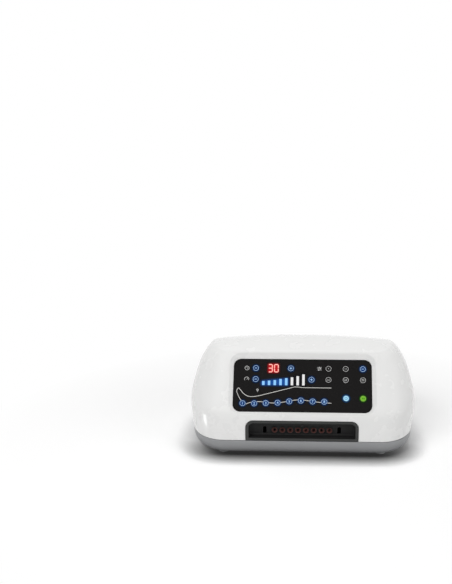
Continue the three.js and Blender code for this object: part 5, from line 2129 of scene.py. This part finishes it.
def node_mesh(node: str) -> Mesh:
    """Reads a CAD node's mesh in millimetres.

    Args:
        node: The node's name.

    Returns:
        A copy of its mesh.
    """
    bm = bmesh.new()
    bm.from_mesh(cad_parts[node].data)
    bmesh.ops.scale(bm, vec=(1 / MM, 1 / MM, 1 / MM), verts=bm.verts)
    return bm


def softened(node: str, radius: float) -> Mesh:
    """A welded copy of a CAD node's mesh, with its sharp edges rounded.

    Args:
        node: The node's name.
        radius: Radius of the rounding.

    Returns:
        The mesh.
    """
    bm = node_mesh(node)
    bmesh.ops.remove_doubles(bm, verts=bm.verts, dist=1e-3)
    bmesh.ops.dissolve_limit(bm, angle_limit=math.radians(1), verts=bm.verts, edges=bm.edges)
    round_edges(bm, sharp_edges(bm, 40), radius, 2)
    bmesh.ops.recalc_face_normals(bm, faces=bm.faces)
    return bm


@dataclass
class Rear:
    """The mains plate at the back: inlet, fuse holder, rocker switch and vent slots."""

    plate_edge: float = 0.4
    shell_edge: float = 0.5
    bezel_edge: float = 0.35
    rocker_edge: float = 0.45
    fuse_flange: float = 1.6
    fuse_flange_edge: float = 0.5
    fuse_head: float = 3.0
    fuse_head_diameter: float = 13.0
    fuse_slot: float = 1.4
    mark_size: float = 3.2
    mark_width: float = 0.6
    mark_height: float = 0.04

    def fuse(self) -> None:
        """The fuse holder: a barrel with a flange, and a cap with a coin slot."""
        low, high = row_box("fuse_holder")
        centre = (low + high) / 2
        flange_radius = (high.x - low.x) / 2
        head_radius, edge = self.fuse_head_diameter / 2, self.fuse_flange_edge
        barrel = flange_radius - 1.5
        foot = -(high.y - low.y - self.fuse_head)
        thick = self.fuse_flange
        top = thick + self.fuse_head
        rim = head_radius - 0.2
        profile = [
            (0, foot + thick), (barrel - 1, foot + thick), (barrel, foot + thick + 1),
            (barrel, 0), (flange_radius, 0), (flange_radius, thick - edge), (flange_radius - edge, thick),
            (head_radius, thick), (rim, top - edge), (rim - edge, top), (0, top),
        ]
        body = body_of_turning(profile)
        half = self.fuse_slot / 2
        slot = block((-head_radius, -half, top - 1.8), (head_radius, half, top + 1), 0.2, 2)
        made = worked(body, [(Cut.CARVE, slot)])
        turn = Matrix.Rotation(-math.pi / 2, 4, "X")
        move(made, Matrix.Translation((centre.x, high.y - top, centre.z)) @ turn)
        Piece("fuse_cap", made, [BLACK_PLASTIC], replaces=["fuse_holder"], slot="inner_plastic").place()

    def rocker_marks(self) -> None:
        """The plain bar and ring on the two halves of the rocker, laid on its faces."""
        low, high = row_box("rocker_switch")
        centre, size, thick = (low + high) / 2, self.mark_size, self.mark_height
        face = node_mesh("rocker_switch")
        tree = BVHTree.FromBMesh(face)
        face.free()
        rise = (high.z - low.z) / 4
        bar = block((-self.mark_width / 2, -size / 2, 0), (self.mark_width / 2, size / 2, thick))
        ring = annulus(size / 2, size / 2 - self.mark_width, thick)
        placed = []
        for mark, level in ((bar, centre.z + rise), (ring, centre.z - rise)):
            spot, normal, _, _ = tree.ray_cast(Vector((centre.x, high.y + 20, level)), Vector((0, -1, 0)))
            upright = Matrix((Vector((-1, 0, 0)), normal.cross(Vector((-1, 0, 0))), normal)).transposed()
            placed.append(move(mark, Matrix.Translation(spot - normal * thick / 2) @ upright.to_4x4()))
        # The white ink of the marks carries a painted glow.
        Piece("rocker_marks", merged(placed), [INK_WHITE_PAINTED_GLOW], "rocker", slot="rocker_plastic").place()

    def build(self) -> None:
        """Builds and places the rear parts."""
        parts = (
            ("rear_plate", "rear_panel", self.plate_edge, PANEL_PLASTIC, "console", "bay_charcoal"),
            ("inlet_shell", "inlet_housing", self.shell_edge, BLACK_PLASTIC, "console", "inner_plastic"),
            ("rocker_bezel", "rocker_frame", self.bezel_edge, BLACK_PLASTIC, "console", "rocker_plastic"),
            ("rocker_key", "rocker_switch", self.rocker_edge, ROCKER_PLASTIC, "rocker", "rocker_plastic"),
        )
        for name, node, edge, finish, body, slot in parts:
            Piece(name, softened(node, edge), [finish], body, [node], slot).place()
        self.fuse()
        self.rocker_marks()


@dataclass
class Works:
    """The inner parts, which keep the frame's own meshes and take a finish each."""

    finishes: dict[str, Finish] = field(default_factory=lambda: {
        "key_mat": MAT_SILICONE, "display_board": BOARD, "main_board": BOARD,
        "port_manifold": INNER_PLASTIC, "channel_tubes": TUBE, "valve_body": INNER_PLASTIC,
        "valve_rotor": SPOOL_PLASTIC, "valve_motor": STEEL, "pump_housing": ALLOY,
        "pump_head": INNER_PLASTIC, "pump_armature": STEEL, "pump_cradle": FOOT_RUBBER, "air_hose": TUBE,
        "inlet_pins": BRASS, "transformer": CORE_STEEL, "power_lead": LEAD_SHEATH, "flat_cable": RIBBON,
        "screw": STEEL,
    })
    smooth: float = 35.0

    def build(self) -> None:
        """Gives every node that still shows its finish."""
        for node, shown in sorted(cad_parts.items()):
            if shown.hide_render:
                continue
            key = max((name for name in self.finishes if node.startswith(name)), key=len)
            shown.data.materials.clear()
            shown.data.materials.append(material_of(self.finishes[key]))
            LOG.info("%s: %s", node, self.finishes[key].name)


@dataclass
class Studio:
    """A pale sweep of floor, a large soft light from the upper left and a camera in front."""

    camera_place: Triple = (0.0, -1.0462, 0.4149)
    camera_down: float = 18.0
    camera_yaw: float = 2.1
    lens: float = 45.36
    sensor: float = 36.0
    long_side: int = 584
    shift: Pair = (-50.8, 90)
    middle: Triple = (0.0, 0.0, 0.07)
    floor_colour: str = "#f4f4f4"
    floor_lift: float = 0.16
    floor_fade: Pair = (0.24, 0.5)
    # Painted shade on the floor: reach and power of the darkening round the object's foot, which is kept
    # weaker beside its sides.
    painted_shade_reach: float = 0.034
    painted_shade_power: float = 2.1
    side_painted_shade: float = 0.3
    side_span: Pair = (0.05, 0.1)
    ambient: float = 0.3
    lamps: tuple[tuple[str, Triple, float, float], ...] = (
        ("key", (-0.75, -1.15, 1.3), 0.9, 14.3),
        ("overhead", (0.1, 0.4, 1.7), 0.9, 9.3),
        ("fill", (1.5, -0.9, 0.7), 1.2, 7.0),
    )
    glint_place: Triple = (-0.258, -0.118, 0.011)
    glint_target: Triple = (-0.134, -0.0985, 0.05)
    glint_size: float = 0.03
    glint_power: float = 0.02

    def camera(self) -> None:
        """Places the camera where the picture was taken from."""
        data = bpy.data.cameras.new("camera")
        data.lens = self.lens
        data.sensor_width = self.sensor
        data.shift_x, data.shift_y = [pixels / self.long_side for pixels in self.shift]
        camera = bpy.data.objects.new("camera", data)
        camera.location = self.camera_place
        camera.rotation_euler = (math.radians(90 - self.camera_down), 0, math.radians(self.camera_yaw))
        bpy.context.scene.collection.objects.link(camera)
        bpy.context.scene.camera = camera

    def world(self) -> None:
        """A world that is white to look at and a plain grey to light with."""
        world = bpy.data.worlds.new("studio")
        bpy.context.scene.world = world
        world.use_nodes = True
        tree = world.node_tree
        tree.nodes.clear()
        path = add_node(tree, "LightPath").node.outputs
        through = {0: path["Is Camera Ray"], 1: path["Is Transmission Ray"]}
        seen = add_node(tree, "Math", through, operation="MAXIMUM")
        either = add_node(tree, "Math", {0: seen, 1: path["Is Glossy Ray"]}, operation="MAXIMUM")
        light = add_node(tree, "Background", {"Color": WHITE, "Strength": self.ambient})
        white = add_node(tree, "Background", {"Color": WHITE, "Strength": 1.0})
        mixed = add_node(tree, "MixShader", {0: either, 1: light, 2: white})
        tree.links.new(mixed, tree.nodes.new("ShaderNodeOutputWorld").inputs["Surface"])

    def floor(self) -> None:
        """A wide pale floor that keeps the lamps' shadow under the object, and is darkened by painted shade
        round the object's foot.
        """
        material, tree, surface = blank_material("studio_floor_painted_shade")
        path = add_node(tree, "LightPath").node.outputs
        mirrored = {0: path["Is Camera Ray"], 1: path["Is Glossy Ray"]}
        seen = add_node(tree, "Math", mirrored, operation="MAXIMUM")
        # Painted shade: an ambient occlusion node darkens the floor's colour and its white lift round the
        # object's foot. It is weaker beside the object's sides than in front and behind.
        nook = add_node(tree, "AmbientOcclusion", {"Distance": self.painted_shade_reach}, "AO", samples=8)
        openness = add_node(tree, "Math", {0: nook, 1: self.painted_shade_power}, operation="POWER")
        nearness = add_node(tree, "Math", {0: 1.0, 1: openness}, operation="SUBTRACT")
        place = add_node(tree, "TexCoord", out="Object")
        along = add_node(tree, "SeparateXYZ", {0: place}, out="Y")
        end = add_node(tree, "Math", {0: along}, operation="ABSOLUTE")
        sides = {
            "Value": end, "From Min": self.side_span[0], "From Max": self.side_span[1],
            "To Min": self.side_painted_shade,
        }
        share = add_node(tree, "MapRange", sides)
        shadow = add_node(tree, "Math", {0: nearness, 1: share}, operation="MULTIPLY")
        painted_shade_factor = add_node(tree, "Math", {0: 1.0, 1: shadow}, operation="SUBTRACT")
        tones = {"Factor": painted_shade_factor, 6: BLACK, 7: linear(self.floor_colour)}
        paint = add_node(tree, "Mix", tones, data_type="RGBA", out=2)
        paper = add_node(tree, "BsdfDiffuse", {"Color": paint})
        open_floor = add_node(tree, "Math", {0: seen, 1: painted_shade_factor}, operation="MULTIPLY")
        lift = add_node(tree, "Math", {0: open_floor, 1: self.floor_lift}, operation="MULTIPLY")
        glow = add_node(tree, "Emission", {"Color": WHITE, "Strength": lift})
        near = add_node(tree, "AddShader", {0: paper, 1: glow})
        white = add_node(tree, "Emission", {"Color": WHITE, "Strength": 1.0})
        reach = add_node(tree, "VectorMath", {0: place}, operation="LENGTH", out="Value")
        fade = {"Value": reach, "From Min": self.floor_fade[0], "From Max": self.floor_fade[1]}
        away = add_node(tree, "MapRange", fade)
        far = add_node(tree, "Math", {0: away, 1: seen}, operation="MULTIPLY")
        both = add_node(tree, "MixShader", {0: far, 1: near, 2: white})
        under = add_node(tree, "NewGeometry", out="Backfacing")
        clear = add_node(tree, "BsdfTransparent")
        one_sided = add_node(tree, "MixShader", {0: under, 1: both, 2: clear})
        tree.links.new(one_sided, surface)
        mesh = bpy.data.meshes.new("floor")
        bm = bmesh.new()
        bmesh.ops.create_grid(bm, x_segments=4, y_segments=4, size=8)
        bm.to_mesh(mesh)
        bm.free()
        mesh.materials.append(material)
        floor = bpy.data.objects.new("floor", mesh)
        bpy.context.scene.collection.objects.link(floor)

    def lamp(
        self, name: str, place: Sequence[float], size: float, power: float,
        target: Sequence[float] | None = None,
    ) -> bpy.types.Object:
        """Hangs one soft square light that glossy surfaces don't mirror.

        Args:
            name: The lamp's name.
            place: Where it hangs, in metres.
            size: Length of its side in metres.
            power: Its power in watts.
            target: The point it looks at, or nothing for the middle of the object.

        Returns:
            The lamp.
        """
        data = bpy.data.lights.new(name, "AREA")
        data.size = size
        data.energy = power
        lamp = bpy.data.objects.new(name, data)
        lamp.location = place
        lamp.visible_glossy = False
        aim = Vector(target or self.middle) - Vector(place)
        lamp.rotation_euler = aim.to_track_quat("-Z", "Y").to_euler()
        bpy.context.scene.collection.objects.link(lamp)
        return lamp

    def glint(self) -> None:
        """A small lamp that only makes a highlight on the lower left bulge."""
        lamp = self.lamp("glint", self.glint_place, self.glint_size, self.glint_power, self.glint_target)
        lamp.visible_glossy = True
        lamp.visible_diffuse = False
        lamp.visible_camera = False

    def build(self) -> None:
        """Sets up the camera, the world, the floor and the lights."""
        self.camera()
        self.world()
        self.floor()
        for name, place, size, power in self.lamps:
            self.lamp(name, place, size, power)
        self.glint()
        bpy.context.scene.view_settings.view_transform = "Standard"


def main() -> None:
    """Builds the object piece by piece, then the studio."""
    logging.basicConfig(level=logging.INFO, format="%(name)s: %(message)s")
    Casing().build()
    KeyPanel().build()
    HoseBay().build()
    Rear().build()
    Works().build()
    Studio().build()


if __name__ == "__main__":
    main()
